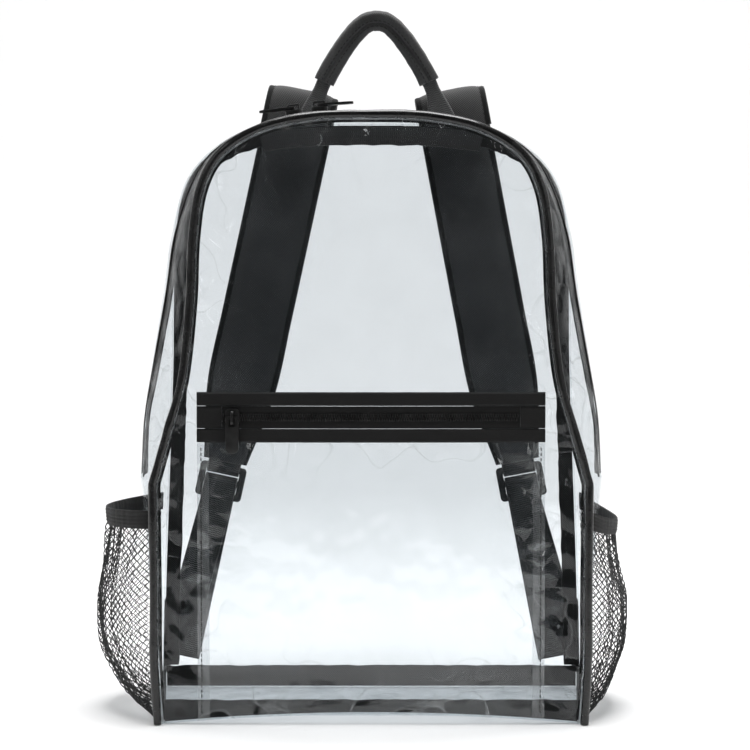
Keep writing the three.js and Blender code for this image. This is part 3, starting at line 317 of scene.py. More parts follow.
def slab(front, faces, back):
    """Closed thin solid between two copies of one surface."""
    front, back = front.reshape(-1, 3), back.reshape(-1, 3)
    count = len(front)
    faces = [tuple(int(v) for v in face) for face in faces]
    edges = {(face[k], face[(k + 1) % len(face)]) for face in faces for k in range(len(face))}
    rim = [(b, a, a + count, b + count) for a, b in edges if (b, a) not in edges]
    under = [tuple(v + count for v in reversed(face)) for face in faces]
    return np.concatenate([front, back]), faces + under + sorted(rim)


def slacken(obj, slack):
    """Store how crumpled the vinyl is at each point; the material reads it."""
    layer = obj.data.attributes.new("slack", "FLOAT", "POINT")
    layer.data.foreach_set("value", np.asarray(slack, float).ravel())
    return obj


def piece(name, points, faces, finish, stands_for=(), uv=None, body="root", sharp=38):
    """Object in the row frame, riding on a body and standing for its CAD nodes."""
    points = np.asarray(points, float).reshape(-1, 3) + ORIGIN
    return placed(name, points, faces, finish, stands_for, uv, body, sharp)


def placed(name, points, faces, finish, stands_for=(), uv=None, body="root", sharp=38):
    mesh = bpy.data.meshes.new(name)
    mesh.from_pydata(points.tolist(), [], [tuple(int(v) for v in face) for face in faces])
    if uv is not None:
        layer = mesh.uv_layers.new(name="cloth")
        corner = np.zeros(len(mesh.loops), int)
        mesh.loops.foreach_get("vertex_index", corner)
        layer.data.foreach_set("uv", np.asarray(uv, float).reshape(-1, 2)[corner].ravel())
    form = bmesh.new()
    form.from_mesh(mesh)
    bmesh.ops.recalc_face_normals(form, faces=form.faces)
    form.to_mesh(mesh)
    form.free()
    mesh.shade_smooth()
    mesh.set_sharp_from_angle(angle=math.radians(sharp))
    mesh.materials.append(finish)
    obj = bpy.data.objects.new(name, mesh)
    bpy.context.scene.collection.objects.link(obj)
    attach(obj, body)
    if stands_for:
        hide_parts(*stands_for)
    return obj


def grid_normals(grid):
    up = np.gradient(grid, axis=0)
    across = np.gradient(grid, axis=1)
    normals = unit(np.cross(up, across))
    middle = tuple(n // 2 for n in grid.shape[:2])
    core = np.array([0, BODY_DEPTH / 2, BODY_HEIGHT / 2])
    if np.dot(normals[middle], grid[middle] - core) < 0:
        normals = -normals
    return normals


def grid_uv(grid):
    """Arc lengths along the two ways of a grid, in metres."""
    rows, columns = grid.shape[:2]
    across = np.zeros((rows, columns))
    across[:, 1:] = np.cumsum(np.linalg.norm(np.diff(grid, axis=1), axis=-1), axis=1)
    across -= across[:, [columns // 2]]
    middle = grid[:, columns // 2]
    along = np.zeros(rows)
    along[1:] = np.cumsum(np.linalg.norm(np.diff(middle, axis=0), axis=-1))
    return np.stack([across, np.repeat(along[:, None], columns, 1)], -1)


def cloth_grid(name, grid, thickness, finish, stands_for=(), sink=0.0):
    """Thin sheet whose outer face is the grid moved in by sink."""
    normals = grid_normals(grid)
    outer = grid - normals * sink
    inner = outer - normals * thickness
    points, faces = slab(outer, grid_faces(*grid.shape[:2]), inner)
    uv = grid_uv(grid).reshape(-1, 2)
    return piece(name, points, faces, finish, stands_for, np.concatenate([uv, uv]))


def inside_outline(points, outline):
    x, z = points[:, [0]], points[:, [1]]
    ax, az = outline[:, 0], outline[:, 1]
    bx, bz = np.roll(ax, -1), np.roll(az, -1)
    crosses = ((az <= z) & (bz > z)) | ((bz <= z) & (az > z))
    rise = np.where(bz == az, 1, bz - az)
    hits = crosses & (x < ax + (z - az) / rise * (bx - ax))
    return hits.sum(1) % 2 == 1


def edge_distance(points, outline):
    gaps = [np.hypot(points[:, 0] - x, points[:, 1] - z) for x, z in outline]
    return np.min(gaps, axis=0)


def fill(outline, spacing):
    """Points and triangles that fill a flat outline evenly."""
    low, high = outline.min(0), outline.max(0)
    rows = np.arange(low[1], high[1], spacing * 0.87)
    lines = []
    for k, z in enumerate(rows):
        xs = np.arange(low[0] + spacing / 2 * (k % 2), high[0], spacing)
        lines.append(np.stack([xs, np.full(len(xs), z)], -1))
    inner = np.concatenate(lines)
    inner = inner[inside_outline(inner, outline)]
    inner = inner[edge_distance(inner, outline) > spacing * 0.55]
    every = [Vector(p) for p in np.concatenate([outline, inner])]
    ring = list(range(len(outline)))
    verts, _, faces, *_ = delaunay_2d_cdt(every, [], [ring], 1, 1e-7)
    return np.array([tuple(v) for v in verts]), [tuple(face) for face in faces]


def scatter(shape, shape_faces, centres, frames):
    """One mesh of many copies of a small shape; frames hold its three directions at each centre."""
    copies = centres[:, None, :] + np.einsum("kc,ncd->nkd", shape, frames)
    count = len(shape)
    starts = range(0, len(centres) * count, count)
    faces = [tuple(v + start for v in face) for start in starts for face in shape_faces]
    return copies.reshape(-1, 3), faces


def bar_shape(length, width, height):
    """Rounded little bar along the first direction, narrowing to both tips."""
    a, b, c = length / 2, width / 2, height / 2
    ring = [(0, 1), (1, 0), (0, -1), (-1, 0)]
    points = [(-a, 0, 0)]
    points += [(-a * 0.55, b * y, c * z) for y, z in ring]
    points += [(a * 0.55, b * y, c * z) for y, z in ring]
    points.append((a, 0, 0))
    faces = []
    for k in range(4):
        n = (k + 1) % 4
        faces += [(0, 1 + n, 1 + k), (1 + k, 1 + n, 5 + n, 5 + k), (9, 5 + k, 5 + n)]
    return np.array(points, float), faces


def run_length(points):
    lengths = np.zeros(len(points))
    lengths[1:] = np.cumsum(np.linalg.norm(np.diff(points, axis=0), axis=1))
    return lengths


def spaced(points, pitch):
    """Points every pitch along a polyline, from half a pitch in."""
    lengths = run_length(points)
    at = np.arange(pitch / 2, lengths[-1], pitch)
    return np.stack([np.interp(at, lengths, points[:, k]) for k in range(3)], -1), at, lengths


STITCH_PITCH = 3.4 * MM
STITCH_LENGTH = 2.5 * MM
STITCH_WIDTH = 0.75 * MM
STITCH_HEIGHT = 0.6 * MM
STITCH_LIFT = 0.12 * MM


def stitch_row(name, path, off, finish, pitch=STITCH_PITCH, length=STITCH_LENGTH):
    """Row of stitches on a path; off points out of the cloth at each point of the path."""
    centres, at, lengths = spaced(path, pitch)
    before = np.stack([np.interp(at - pitch / 4, lengths, path[:, k]) for k in range(3)], -1)
    after = np.stack([np.interp(at + pitch / 4, lengths, path[:, k]) for k in range(3)], -1)
    along = unit(after - before)
    up = unit(np.stack([np.interp(at, lengths, off[:, k]) for k in range(3)], -1))
    across = unit(np.cross(up, along))
    up = np.cross(along, across)
    shape, shape_faces = bar_shape(length, STITCH_WIDTH, STITCH_HEIGHT)
    frames = np.stack([along, across, up], axis=1)
    points, faces = scatter(shape, shape_faces, centres + up * STITCH_LIFT, frames)
    return piece(name, points, faces, finish, sharp=80)


def tubes(paths, normals, radius, sides=4):
    """Thin tubes along many paths of the same number of points."""
    along = unit(np.gradient(paths, axis=1))
    across = unit(np.cross(normals, along))
    up = np.cross(along, across)
    turn = (np.arange(sides) + 0.5) * math.tau / sides
    rings = (
        paths[:, :, None, :]
        + radius * np.cos(turn)[:, None] * across[:, :, None, :]
        + radius * np.sin(turn)[:, None] * up[:, :, None, :]
    )
    strands, stations = paths.shape[:2]
    one = grid_faces(stations, sides, closed=True)
    caps = [tuple(range(sides)), tuple(range((stations - 1) * sides, stations * sides))]
    faces = []
    for n in range(strands):
        start = n * stations * sides
        faces += (one + start).tolist()
        faces += [tuple(v + start for v in cap) for cap in caps]
    return rings.reshape(-1, 3), faces


# Materials
class Shader:
    """Small builder for one material's nodes."""

    def __init__(self, name):
        self.material = bpy.data.materials.new(name)
        self.material.use_nodes = True
        self.tree = self.material.node_tree
        self.tree.nodes.clear()
        self.output = self.node("ShaderNodeOutputMaterial")

    def node(self, kind, **inputs):
        made = self.tree.nodes.new(kind)
        for key, value in inputs.items():
            self.set(made, key, value)
        return made

    def set(self, node, key, value):
        numbered = key[0] == "i" and key[1:].isdigit()
        socket = node.inputs[int(key[1:]) if numbered else key.replace("_", " ")]
        if isinstance(value, bpy.types.NodeSocket):
            self.tree.links.new(value, socket)
        else:
            socket.default_value = value

    def maths(self, operation, a, b=0.5, c=None, clamp=False):
        made = self.tree.nodes.new("ShaderNodeMath")
        made.operation = operation
        made.use_clamp = clamp
        for k, value in enumerate([a, b] if c is None else [a, b, c]):
            self.set(made, f"i{k}", value)
        return made.outputs[0]

    def noise(self, vector, scale, detail=3.0, roughness=0.55):
        made = self.node("ShaderNodeTexNoise", Scale=scale, Detail=detail, Roughness=roughness)
        self.set(made, "Vector", vector)
        return made.outputs["Fac"]

    def ranged(self, value, low, high, to_low, to_high):
        made = self.tree.nodes.new("ShaderNodeMapRange")
        for k, v in enumerate([value, low, high, to_low, to_high]):
            self.set(made, f"i{k}", v)
        return made.outputs[0]

    def blend(self, share, a, b):
        made = self.tree.nodes.new("ShaderNodeMix")
        made.data_type = "RGBA"
        for key, value in (("Factor", share), ("A", a), ("B", b)):
            named = [s for s in made.inputs if s.name == key]
            socket = next(s for s in named if key == "Factor" or s.type == "RGBA")
            if isinstance(value, bpy.types.NodeSocket):
                self.tree.links.new(value, socket)
            else:
                socket.default_value = value
        return next(s for s in made.outputs if s.type == "RGBA")

    def place(self):
        return self.tree.nodes.new("ShaderNodeTexCoord").outputs["Object"]

    def cloth(self):
        made = self.tree.nodes.new("ShaderNodeUVMap")
        made.uv_map = "cloth"
        return made.outputs["UV"]

    def apart(self, vector):
        made = self.tree.nodes.new("ShaderNodeSeparateXYZ")
        self.set(made, "Vector", vector)
        return made.outputs

    def bump(self, height, distance, strength=1.0, normal=None):
        made = self.node("ShaderNodeBump", Strength=strength, Distance=distance)
        self.set(made, "Height", height)
        if normal is not None:
            self.set(made, "Normal", normal)
        return made.outputs["Normal"]

    def finish(self, shader):
        self.tree.links.new(shader, self.output.inputs["Surface"])
        return self.material


def grey(value, warm=0.0):
    return (value * (1 + warm), value, value * (1 - warm), 1)


def vinyl_material(name, tint, milk=0.0):
    """Clear vinyl: it darkens what is behind it a little, mirrors light more at a slant, and is
    dusty and scuffed in places; whitish lines along its creases are a painted highlight."""
    s = Shader(name)
    where = s.place()
    fine = s.noise(where, 55, 2, 0.5)
    broad = s.noise(where, 9, 1, 0.5)
    attribute = s.tree.nodes.new("ShaderNodeAttribute")
    attribute.attribute_name = "slack"
    slack = attribute.outputs["Fac"]
    valley = s.maths("ABSOLUTE", s.maths("SUBTRACT", s.noise(where, 24, 1, 0.45), 0.5))
    pleat = s.maths("ABSOLUTE", s.maths("SUBTRACT", s.noise(where, 61, 0, 0.4), 0.5))
    crumple = s.maths("MULTIPLY", s.maths("MULTIPLY_ADD", pleat, 0.3, valley), slack)
    normal = s.bump(broad, 0.004, 0.35)
    normal = s.bump(crumple, 0.014, 1.0, normal)
    normal = s.bump(fine, 0.0006, 0.3, normal)
    slant = s.node("ShaderNodeLayerWeight", Blend=0.5)
    s.set(slant, "Normal", normal)
    steep = s.maths("POWER", slant.outputs["Facing"], 5.0)
    mirror = s.maths("MULTIPLY_ADD", steep, 0.14, 0.02, clamp=True)
    clear = s.node("ShaderNodeBsdfTransparent", Color=tint)
    gloss = s.node("ShaderNodeBsdfGlossy", Color=(1, 1, 1, 1), Roughness=0.07)
    s.set(gloss, "Normal", normal)
    # whitish diffuse that carries both the dust and the painted highlight along the creases
    dust_and_highlight_bsdf = s.node("ShaderNodeBsdfDiffuse", Color=(0.75, 0.77, 0.78, 1), Roughness=0.4)
    speck = s.noise(where, 900, 0, 0.6)
    patch = s.noise(where, 16, 3, 0.65)
    specks = s.ranged(speck, 0.66, 0.74, 0.0, 0.2)
    patches = s.ranged(patch, 0.45, 0.8, 0.0, 0.02)
    dust_and_crease_highlight = s.maths("MULTIPLY_ADD", specks, patches, patches)
    # painted highlight: the vinyl is painted whitish along the crease lines of the crumple, more
    # where it is slack
    crease_highlight = s.maths("MULTIPLY", s.ranged(valley, 0.0, 0.008, 0.16, 0.0), slack)
    dust_and_crease_highlight = s.maths("ADD", dust_and_crease_highlight, s.maths("ADD", crease_highlight, milk), clamp=True)
    body = s.tree.nodes.new("ShaderNodeMixShader")
    s.set(body, "i0", dust_and_crease_highlight)
    s.set(body, "i1", clear.outputs[0])
    s.set(body, "i2", dust_and_highlight_bsdf.outputs[0])
    whole = s.tree.nodes.new("ShaderNodeMixShader")
    s.set(whole, "i0", mirror)
    s.set(whole, "i1", body.outputs[0])
    s.set(whole, "i2", gloss.outputs[0])
    return s.finish(whole.outputs[0])


def weave_height(s, pitch, rib=0.0):
    """Over-and-under weave from the cloth's own lengths; a rib makes the cross threads thicker."""
    u, v, _ = s.apart(s.cloth())
    a = s.maths("SINE", s.maths("MULTIPLY", u, math.pi / pitch))
    b = s.maths("SINE", s.maths("MULTIPLY", v, math.pi / (pitch * (1 + rib))))
    return s.maths("MULTIPLY_ADD", s.maths("MULTIPLY", a, b), 0.5, 0.5)


def cloth_material(name, dark, light, pitch, rough=0.78, sheen=0.25, depth=0.0003, rib=0.0):
    """Woven cloth with threads, worn tone and a slight sheen; the thread tops are painted lighter
    and the gaps between them darker, as painted shade.
    """
    s = Shader(name)
    height = weave_height(s, pitch, rib)
    drift = s.noise(s.place(), 38, 5, 0.6)
    # painted shade: the colour follows the weave height, darker in the gaps between the threads
    tone = s.blend(height, dark, light)
    tone = s.blend(s.ranged(drift, 0.35, 0.75, 0.0, 0.5), tone, light)
    lint = s.noise(s.place(), 1500, 1, 0.5)
    height = s.maths("MULTIPLY_ADD", lint, 0.25, height)
    made = s.node("ShaderNodeBsdfPrincipled")
    s.set(made, "Base Color", tone)
    s.set(made, "Roughness", s.ranged(drift, 0.3, 0.7, rough - 0.08, rough + 0.08))
    s.set(made, "Sheen Weight", sheen)
    s.set(made, "Sheen Roughness", 0.5)
    s.set(made, "Specular IOR Level", 0.2)
    s.set(made, "Normal", s.bump(height, depth, 0.8))
    return s.finish(made.outputs[0])


def webbing_material(name, dark, light, rib=1.5 * MM, edge=11 * MM):
    """Ribbed webbing: cross ribs with a fine chevron, and a denser line near each edge; the rib
    tops are painted lighter and the gaps and edge lines darker, as painted shade.
    """
    s = Shader(name)
    u, v, _ = s.apart(s.cloth())
    chevron = s.maths("ABSOLUTE", s.maths("SINE", s.maths("MULTIPLY", u, math.pi / (3.1 * MM))))
    shifted = s.maths("MULTIPLY_ADD", chevron, 0.7 * MM, v)
    ribs = s.maths("SINE", s.maths("MULTIPLY", shifted, math.tau / rib))
    threads = s.maths("SINE", s.maths("MULTIPLY", u, math.tau / (0.9 * MM)))
    height = s.maths("MULTIPLY_ADD", ribs, 0.4, s.maths("MULTIPLY_ADD", threads, 0.15, 0.5))
    side = s.maths("ABSOLUTE", s.maths("SUBTRACT", s.maths("ABSOLUTE", u), edge))
    height = s.maths("MULTIPLY", height, s.ranged(side, 0.2 * MM, 0.8 * MM, 0.45, 1.0))
    drift = s.noise(s.place(), 60, 4, 0.6)
    # painted shade: the colour follows the rib height, darker in the gaps and along the edge lines
    tone = s.blend(height, dark, light)
    tone = s.blend(s.ranged(drift, 0.4, 0.8, 0.0, 0.4), tone, light)
    made = s.node("ShaderNodeBsdfPrincipled")
    s.set(made, "Base Color", tone)
    s.set(made, "Roughness", s.ranged(drift, 0.3, 0.7, 0.6, 0.75))
    s.set(made, "Sheen Weight", 0.2)
    s.set(made, "Sheen Roughness", 0.5)
    s.set(made, "Specular IOR Level", 0.4)
    s.set(made, "Normal", s.bump(height, 0.0004, 0.9))
    return s.finish(made.outputs[0])


def moulded_material(name, dark, light, rough, metal=0.0, grain=400, depth=0.00012):
    """Moulded plastic, vinyl cord or lacquered metal with a fine grain and rubbed places."""
    s = Shader(name)
    where = s.place()
    fine = s.noise(where, grain, 3, 0.5)
    rub = s.noise(where, 70, 4, 0.6)
    made = s.node("ShaderNodeBsdfPrincipled")
    s.set(made, "Base Color", s.blend(s.ranged(rub, 0.35, 0.75, 0.0, 1.0), dark, light))
    s.set(made, "Roughness", s.ranged(rub, 0.3, 0.7, rough, rough + 0.12))
    s.set(made, "Metallic", metal)
    s.set(made, "Normal", s.bump(fine, depth, 0.5))
    return s.finish(made.outputs[0])


VINYL_FINISH = vinyl_material("clear_vinyl", (0.918, 0.93, 0.938, 1))
POCKET_FINISH = vinyl_material("pocket_vinyl", (0.975, 0.98, 0.982, 1))
HEM_FINISH = vinyl_material("hem_vinyl", (0.93, 0.935, 0.937, 1), 0.05)
PIPING_FINISH = moulded_material("black_piping", grey(0.006), grey(0.014), 0.2, grain=120,
                                 depth=0.0003)
BINDING_FINISH = cloth_material("black_binding", grey(0.003), grey(0.014), 0.7 * MM, sheen=0.12)
TAPE_FINISH = cloth_material("zip_tape", grey(0.003), grey(0.012), 0.55 * MM, sheen=0.12, rib=0.6)
WEBBING_FINISH = webbing_material("black_webbing", grey(0.006), grey(0.026))
NET_FINISH = moulded_material("black_net", grey(0.006), grey(0.02), 0.45, grain=900)
STRAP_FINISH = cloth_material("strap_fabric", grey(0.014), grey(0.08), 0.8 * MM, sheen=0.2,
                              depth=0.0004)
PLASTIC_FINISH = moulded_material("black_plastic", grey(0.008), grey(0.018), 0.38)
METAL_FINISH = moulded_material("painted_metal", grey(0.01), grey(0.03), 0.3, metal=0.3)
COIL_FINISH = moulded_material("coil_black", grey(0.008), grey(0.02), 0.28)
# Painted light: the handle's webbing and wrap are lighter copies of the black webbing and binding
# cloth, lit as the handle stands up into the light from above
HANDLE_WEB_PAINTED_LIGHT_FINISH = webbing_material("handle_webbing", grey(0.02), grey(0.085))
HANDLE_WRAP_PAINTED_LIGHT_FINISH = cloth_material("handle_wrap", grey(0.025), grey(0.09), 0.7 * MM)
THREAD_FINISH = moulded_material("thread_black", grey(0.01), grey(0.03), 0.6, grain=1800)


# Clear vinyl panels
PANEL_SPACING = 3.2 * MM
SLACK_REACH = 16 * MM
GUSSET_SLACK = 0.8
HEM_SLACK = 0.3


def seam_outline(side, count=24):
    """Closed outline of the front or back panel in X and Z, from the right bottom corner."""
    at = seam(np.linspace(0, END, END * count // 2 + 1))
    x, z = at[f"{side}_x"], at[f"{side}_z"]
    low = np.linspace(x[-1], x[0], 100)[1:-1]
    lift = base_lift(low, 0) if side == "front" else 0 * low
    return np.stack([np.concatenate([x, low]), np.concatenate([z, lift])], -1)


SEAM_BUCKLE_DEPTH = 0.9 * MM
SEAM_BUCKLE_REACH = 16 * MM
SOFT_FOLD_DEPTH = 1.1 * MM
SOFT_FOLD_START = 30 * MM
CREASE_WIDTH = 2.6 * MM
# Start, end and height of each long crease in the front sheet, in millimetres
FRONT_CREASES = [
    ((-108, 330), (-60, 385), 1.0),
    ((-118, 300), (-92, 352), 1.2),
    ((-70, 395), (-10, 408), 0.8),
    ((60, 404), (112, 352), 1.1),
    ((104, 372), (118, 300), 0.9),
    ((-112, 250), (-100, 305), 0.8),
    ((112, 240), (102, 300), 0.8),
]


def front_ripple(x, z, edge):
    """Depth of the front sheet's dents: slack buckles along the seam and long soft folds."""
    near = np.exp(-edge / SEAM_BUCKLE_REACH)
    far = 1 - np.exp(-edge / SOFT_FOLD_START)
    buckles = waves(x, z, 11, 14 * MM, 34 * MM) * near * SEAM_BUCKLE_DEPTH
    soft = waves(x, z, 12, 70 * MM, 190 * MM) * far * SOFT_FOLD_DEPTH
    total = buckles + soft
    for start, end, height in FRONT_CREASES:
        start, end = np.array(start) * MM, np.array(end) * MM
        total = total - crease(x, z, start, end, CREASE_WIDTH) * height * MM
    beside = fade(POCKET_HALF_WIDTH + 6 * MM - abs(x), 0, 8 * MM)
    covered = beside * fade(POCKET_ZIP_TOP + 10 * MM - z, 0, 14 * MM)
    return total * (1 - 0.93 * covered) * fade(edge, 0, 5 * MM)


def flat_sheet(name, outline, depth, thickness, stands_for, finish=VINYL_FINISH):
    """Sheet over a flat outline in X and Z; depth gives its outer Y."""
    flat, faces = fill(outline, PANEL_SPACING)
    edge = edge_distance(flat, outline)
    x, z = flat.T
    y = depth(x, z, edge)
    points, faces = slab(stack(x, y, z), faces, stack(x, y + thickness, z))
    slack = np.exp(-edge / SLACK_REACH) + np.exp(-z / SLACK_REACH)
    made = piece(name, points, faces, finish, stands_for)
    return slacken(made, np.tile(np.clip(slack, 0, 1), 2))


def build_vinyl():
    flat_sheet(
        "vinyl_front",
        seam_outline("front"),
        lambda x, z, edge: front_y(x, z) + front_ripple(x, z, edge),
        VINYL,
        ["front_panel"],
    )
    flat_sheet(
        "vinyl_back",
        seam_outline("back"),
        lambda x, z, edge: BODY_DEPTH
        - VINYL
        - (0.5 + 0.5 * waves(x, z, 21, 60 * MM, 160 * MM)) * fade(edge, 0, 40 * MM) * 1.2 * MM,
        VINYL,
        ["back_panel"],
    )
    half_zip = ZIP_WIDTH / 2 / BODY_DEPTH
    build_gusset_sheet("vinyl_gusset_front", "gusset_front", 0, 0.5 - half_zip, 31)
    build_gusset_sheet("vinyl_gusset_rear", "gusset_rear", 0.5 + half_zip, 1, 32)
    for name, side in SIDES:
        build_side_sheet(name, side)
    build_base_sheet()


def gusset_dents(place, share, low, high, seed):
    """Push of the gusset's buckles, nothing at its sewn edges and deepest near its lower ends."""
    along = np.asarray(place, float) * 45 * MM
    across = np.asarray(share, float) * BODY_DEPTH
    middle = np.sin(math.pi * np.clip((share - low) / (high - low), 0, 1)) ** 0.6
    foot = np.minimum(abs(place - CORNER_ROW), abs(place - (END - CORNER_ROW)))
    weight = 0.8 + 1.4 * np.exp(-foot / 0.8)
    cross = waves(along, across * 0.35, seed, 9 * MM, 34 * MM)
    return middle * weight * (cross * 0.55 - 0.35 * np.maximum(cross, 0) ** 2) * MM


def build_gusset_sheet(name, node, low, high, seed):
    places = np.linspace(CORNER_ROW, END - CORNER_ROW, 420)[:, None]
    shares = np.linspace(low, high, 22)[None, :]
    dents = gusset_dents(places, shares, low, high, seed)
    grid = gusset_point(places, shares, dents)
    made = cloth_grid(name, grid, VINYL, VINYL_FINISH, [node])
    slacken(made, np.full(len(made.data.vertices), GUSSET_SLACK))


def build_side_sheet(name, side):
    top = place_at_height(seam(CORNER_ROW)["front_z"] - GAP)
    places = np.linspace(0, top, 60)
    places = (places if side > 0 else END - places)[:, None]
    shares = np.linspace(0, 1, 50)[None, :]
    z = seam(places)["front_z"]
    y = shares * BODY_DEPTH
    inner = np.sin(math.pi * shares) ** 0.5 * np.sin(math.pi * np.clip(z / (168 * MM), 0, 1)) ** 0.5
    dents = inner * (waves(y, z, 41 + side, 12 * MM, 40 * MM) - 1.2) * 0.8 * MM
    grid = gusset_point(places, shares, dents)
    node = f"side_panel_{name}"
    made = cloth_grid(f"vinyl_side_{name}", grid, VINYL, VINYL_FINISH, [node])
    slacken(made, np.ones(len(made.data.vertices)))


def build_base_sheet():
    inside = VINYL + GAP
    depth = np.linspace(inside, BODY_DEPTH - inside, 50)[:, None]
    half = mix(seam(0)["front_x"], seam(0)["back_x"], depth / BODY_DEPTH) - inside
    share = np.linspace(-1, 1, 110)[None, :]
    x = share * half
    y = depth + 0 * x
    slack = (1 - abs(share) ** 6) * np.sin(math.pi * depth / BODY_DEPTH) ** 0.5
    z = base_lift(x, y - inside) + slack * (1 + 0.6 * waves(x, y, 51, 14 * MM, 50 * MM)) * 0.7 * MM
    top = stack(x, y, z + VINYL)
    points, faces = slab(top, grid_faces(*x.shape), stack(x, y, z))
    made = piece("vinyl_base", points, faces, VINYL_FINISH, ["base_panel"])
    slacken(made, np.ones(len(points)))


# Seams
def seam_path(side, place, out, depth):
    """Points on a seam, moved out of the body and placed at a depth."""
    at = seam(place)
    base = stack(at[f"{side}_x"], depth, at[f"{side}_z"])
    return base + outward(place) * np.asarray(out, float)[..., None]


def build_piping():
    start = place_at_height(0.6 * MM)
    place = np.linspace(start, END - start, 560)
    reach = (PIPING_RADIUS + GAP) * math.sqrt(0.5)
    at = seam(place)
    depth = front_y(at["front_x"], at["front_z"]) - reach
    centre = seam_path("front", place, np.full(place.shape, reach), depth)
    out = outward(place)
    forward = np.array([0, -1, 0.0])
    turn = np.arange(14) * math.tau / 14
    swell = 1 - 0.06 + 0.05 * waves(place * 45 * MM, 0 * place, 61, 20 * MM, 70 * MM)
    radius = (PIPING_RADIUS * swell)[:, None, None]
    rings = (
        centre[:, None, :]
        + radius * np.cos(turn)[None, :, None] * out[:, None, :]
        + radius * np.sin(turn)[None, :, None] * forward
    )
    count = len(turn)
    faces = grid_faces(len(place), count, closed=True).tolist()
    faces += [tuple(range(count)), tuple(range((len(place) - 1) * count, len(place) * count))]
    piece("piping_welt", rings.reshape(-1, 3), faces, PIPING_FINISH, ["piping_front"])


def seam_strip(name, node, place, near, far, depth, finish):
    """Bound strip lying in the plane of a panel, from near to far inside the seam."""
    across = np.linspace(0, 1, 5)[None, :]
    place = place[:, None]
    crimp = 0.35 * MM * waves(place * 45 * MM, across * 8 * MM, 71, 7 * MM, 18 * MM)
    inset = mix(near, far, across) + crimp * across
    at = seam(place + 0 * across)
    out = outward(place + 0 * across)
    grid = stack(at["back_x"], depth, at["back_z"]) - out * inset[..., None]
    low = grid - np.array([0, SEAM_BINDING_THICKNESS, 0])
    points, faces = slab(grid, grid_faces(*grid.shape[:2]), low)
    uv = grid_uv(grid).reshape(-1, 2)
    return piece(name, points, faces, finish, [node], np.concatenate([uv, uv]))


def build_bindings():
    inside = VINYL + GAP
    start = place_at_height(BASE_BINDING_TOP + GAP)
    place = np.linspace(start, END - start, 460)
    back = BODY_DEPTH - inside
    seam_strip(
        "binding_back",
        "seam_binding_back",
        place,
        inside + 0.2 * MM,
        inside + SEAM_BINDING_WIDTH,
        back,
        BINDING_FINISH,
    )
    shares = np.linspace(0.004, SEAM_BINDING_WIDTH / BODY_DEPTH, 5)[None, :]
    face = gusset_point(place[:, None], shares)
    cloth_grid("binding_front", face, SEAM_BINDING_THICKNESS, BINDING_FINISH,
               ["seam_binding_front"], sink=inside + 0.1 * MM)
    build_base_bindings(start)
    reach = APEX - np.interp(TOP_STRIP_HALF_WIDTH, seam(HEIGHTS)["back_x"][::-1], HEIGHTS[::-1])
    place = np.linspace(APEX - reach, APEX + reach, 90)
    back = BODY_DEPTH - inside - SEAM_BINDING_THICKNESS - GAP
    seam_strip(
        "top_webbing",
        "top_strip",
        place,
        inside + 1 * MM,
        inside + TOP_STRIP_HEIGHT,
        back,
        WEBBING_FINISH,
    )


def build_base_bindings(start):
    inside = VINYL + GAP
    thick = SEAM_BINDING_THICKNESS
    share = np.linspace(-1, 1, 120)[:, None]
    up = np.linspace(0, 1, 5)[None, :]
    for name, side, y, way in (
        ("front", "front", inside + 0.2 * MM, 1),
        ("back", "back", BODY_DEPTH - inside, -1),
    ):
        half = seam(start)[f"{side}_x"] - inside - thick - GAP
        x = share * half + 0 * up
        lift = base_lift(x, 0) if side == "front" else 0 * x
        top = BASE_BINDING_TOP + 0.3 * MM * waves(x, 0 * x, 81, 9 * MM, 30 * MM)
        z = mix(lift + inside, top, up)
        belly = way * 0.5 * MM * (1 + waves(x, z, 82, 12 * MM, 40 * MM)) * np.sin(math.pi * up)
        near = stack(x, y + belly, z)
        far = stack(x, y + belly + way * thick, z)
        points, faces = slab(near, grid_faces(*x.shape), far)
        uv = np.stack([z, x], -1).reshape(-1, 2)
        piece(f"binding_base_{name}", points, faces, BINDING_FINISH, [f"base_binding_{name}"],
              np.concatenate([uv, uv]))
    for name, side in SIDES:
        low, high = place_at_height(inside + 0.4 * MM), place_at_height(BASE_BINDING_TOP)
        places = np.linspace(low, high, 5)
        places = (places if side > 0 else END - places)[:, None]
        grid = gusset_point(places, np.linspace(0.04, 0.96, 60)[None, :])
        cloth_grid(f"binding_base_{name}", grid, thick, BINDING_FINISH, [f"base_binding_{name}"],
                   sink=inside)


# Zips
TOOTH_PITCH = 1.7 * MM
TOOTH_HALF_WIDTH = 2.5 * MM
TOOTH_LENGTH = 1.35 * TOOTH_HALF_WIDTH
TOOTH_WIDTH = 0.82 * TOOTH_PITCH
TOOTH_HEIGHT = 1.5 * MM


def teeth(name, path, off, finish):
    """Two rows of coil teeth that lock along a path."""
    parts = []
    for side in (-1, 1):
        centres, at, lengths = spaced(path, TOOTH_PITCH)
        shift = side * TOOTH_PITCH / 4
        centres = np.stack([np.interp(at + shift, lengths, path[:, k]) for k in range(3)], -1)
        before = np.stack([np.interp(at - TOOTH_PITCH, lengths, path[:, k]) for k in range(3)], -1)
        after = np.stack([np.interp(at + TOOTH_PITCH, lengths, path[:, k]) for k in range(3)], -1)
        along = unit(after - before)
        up = unit(np.stack([np.interp(at, lengths, off[:, k]) for k in range(3)], -1))
        across = unit(np.cross(up, along))
        frames = np.stack([across, along, up], axis=1)
        shape, shape_faces = bar_shape(TOOTH_LENGTH, TOOTH_WIDTH, TOOTH_HEIGHT)
        centres = centres + across * side * TOOTH_HALF_WIDTH / 2
        parts.append(scatter(shape, shape_faces, centres, frames))
    count = len(parts[0][0])
    points = np.concatenate([parts[0][0], parts[1][0]])
    faces = parts[0][1] + [tuple(v + count for v in face) for face in parts[1][1]]
    return piece(name, points, faces, finish, sharp=60)


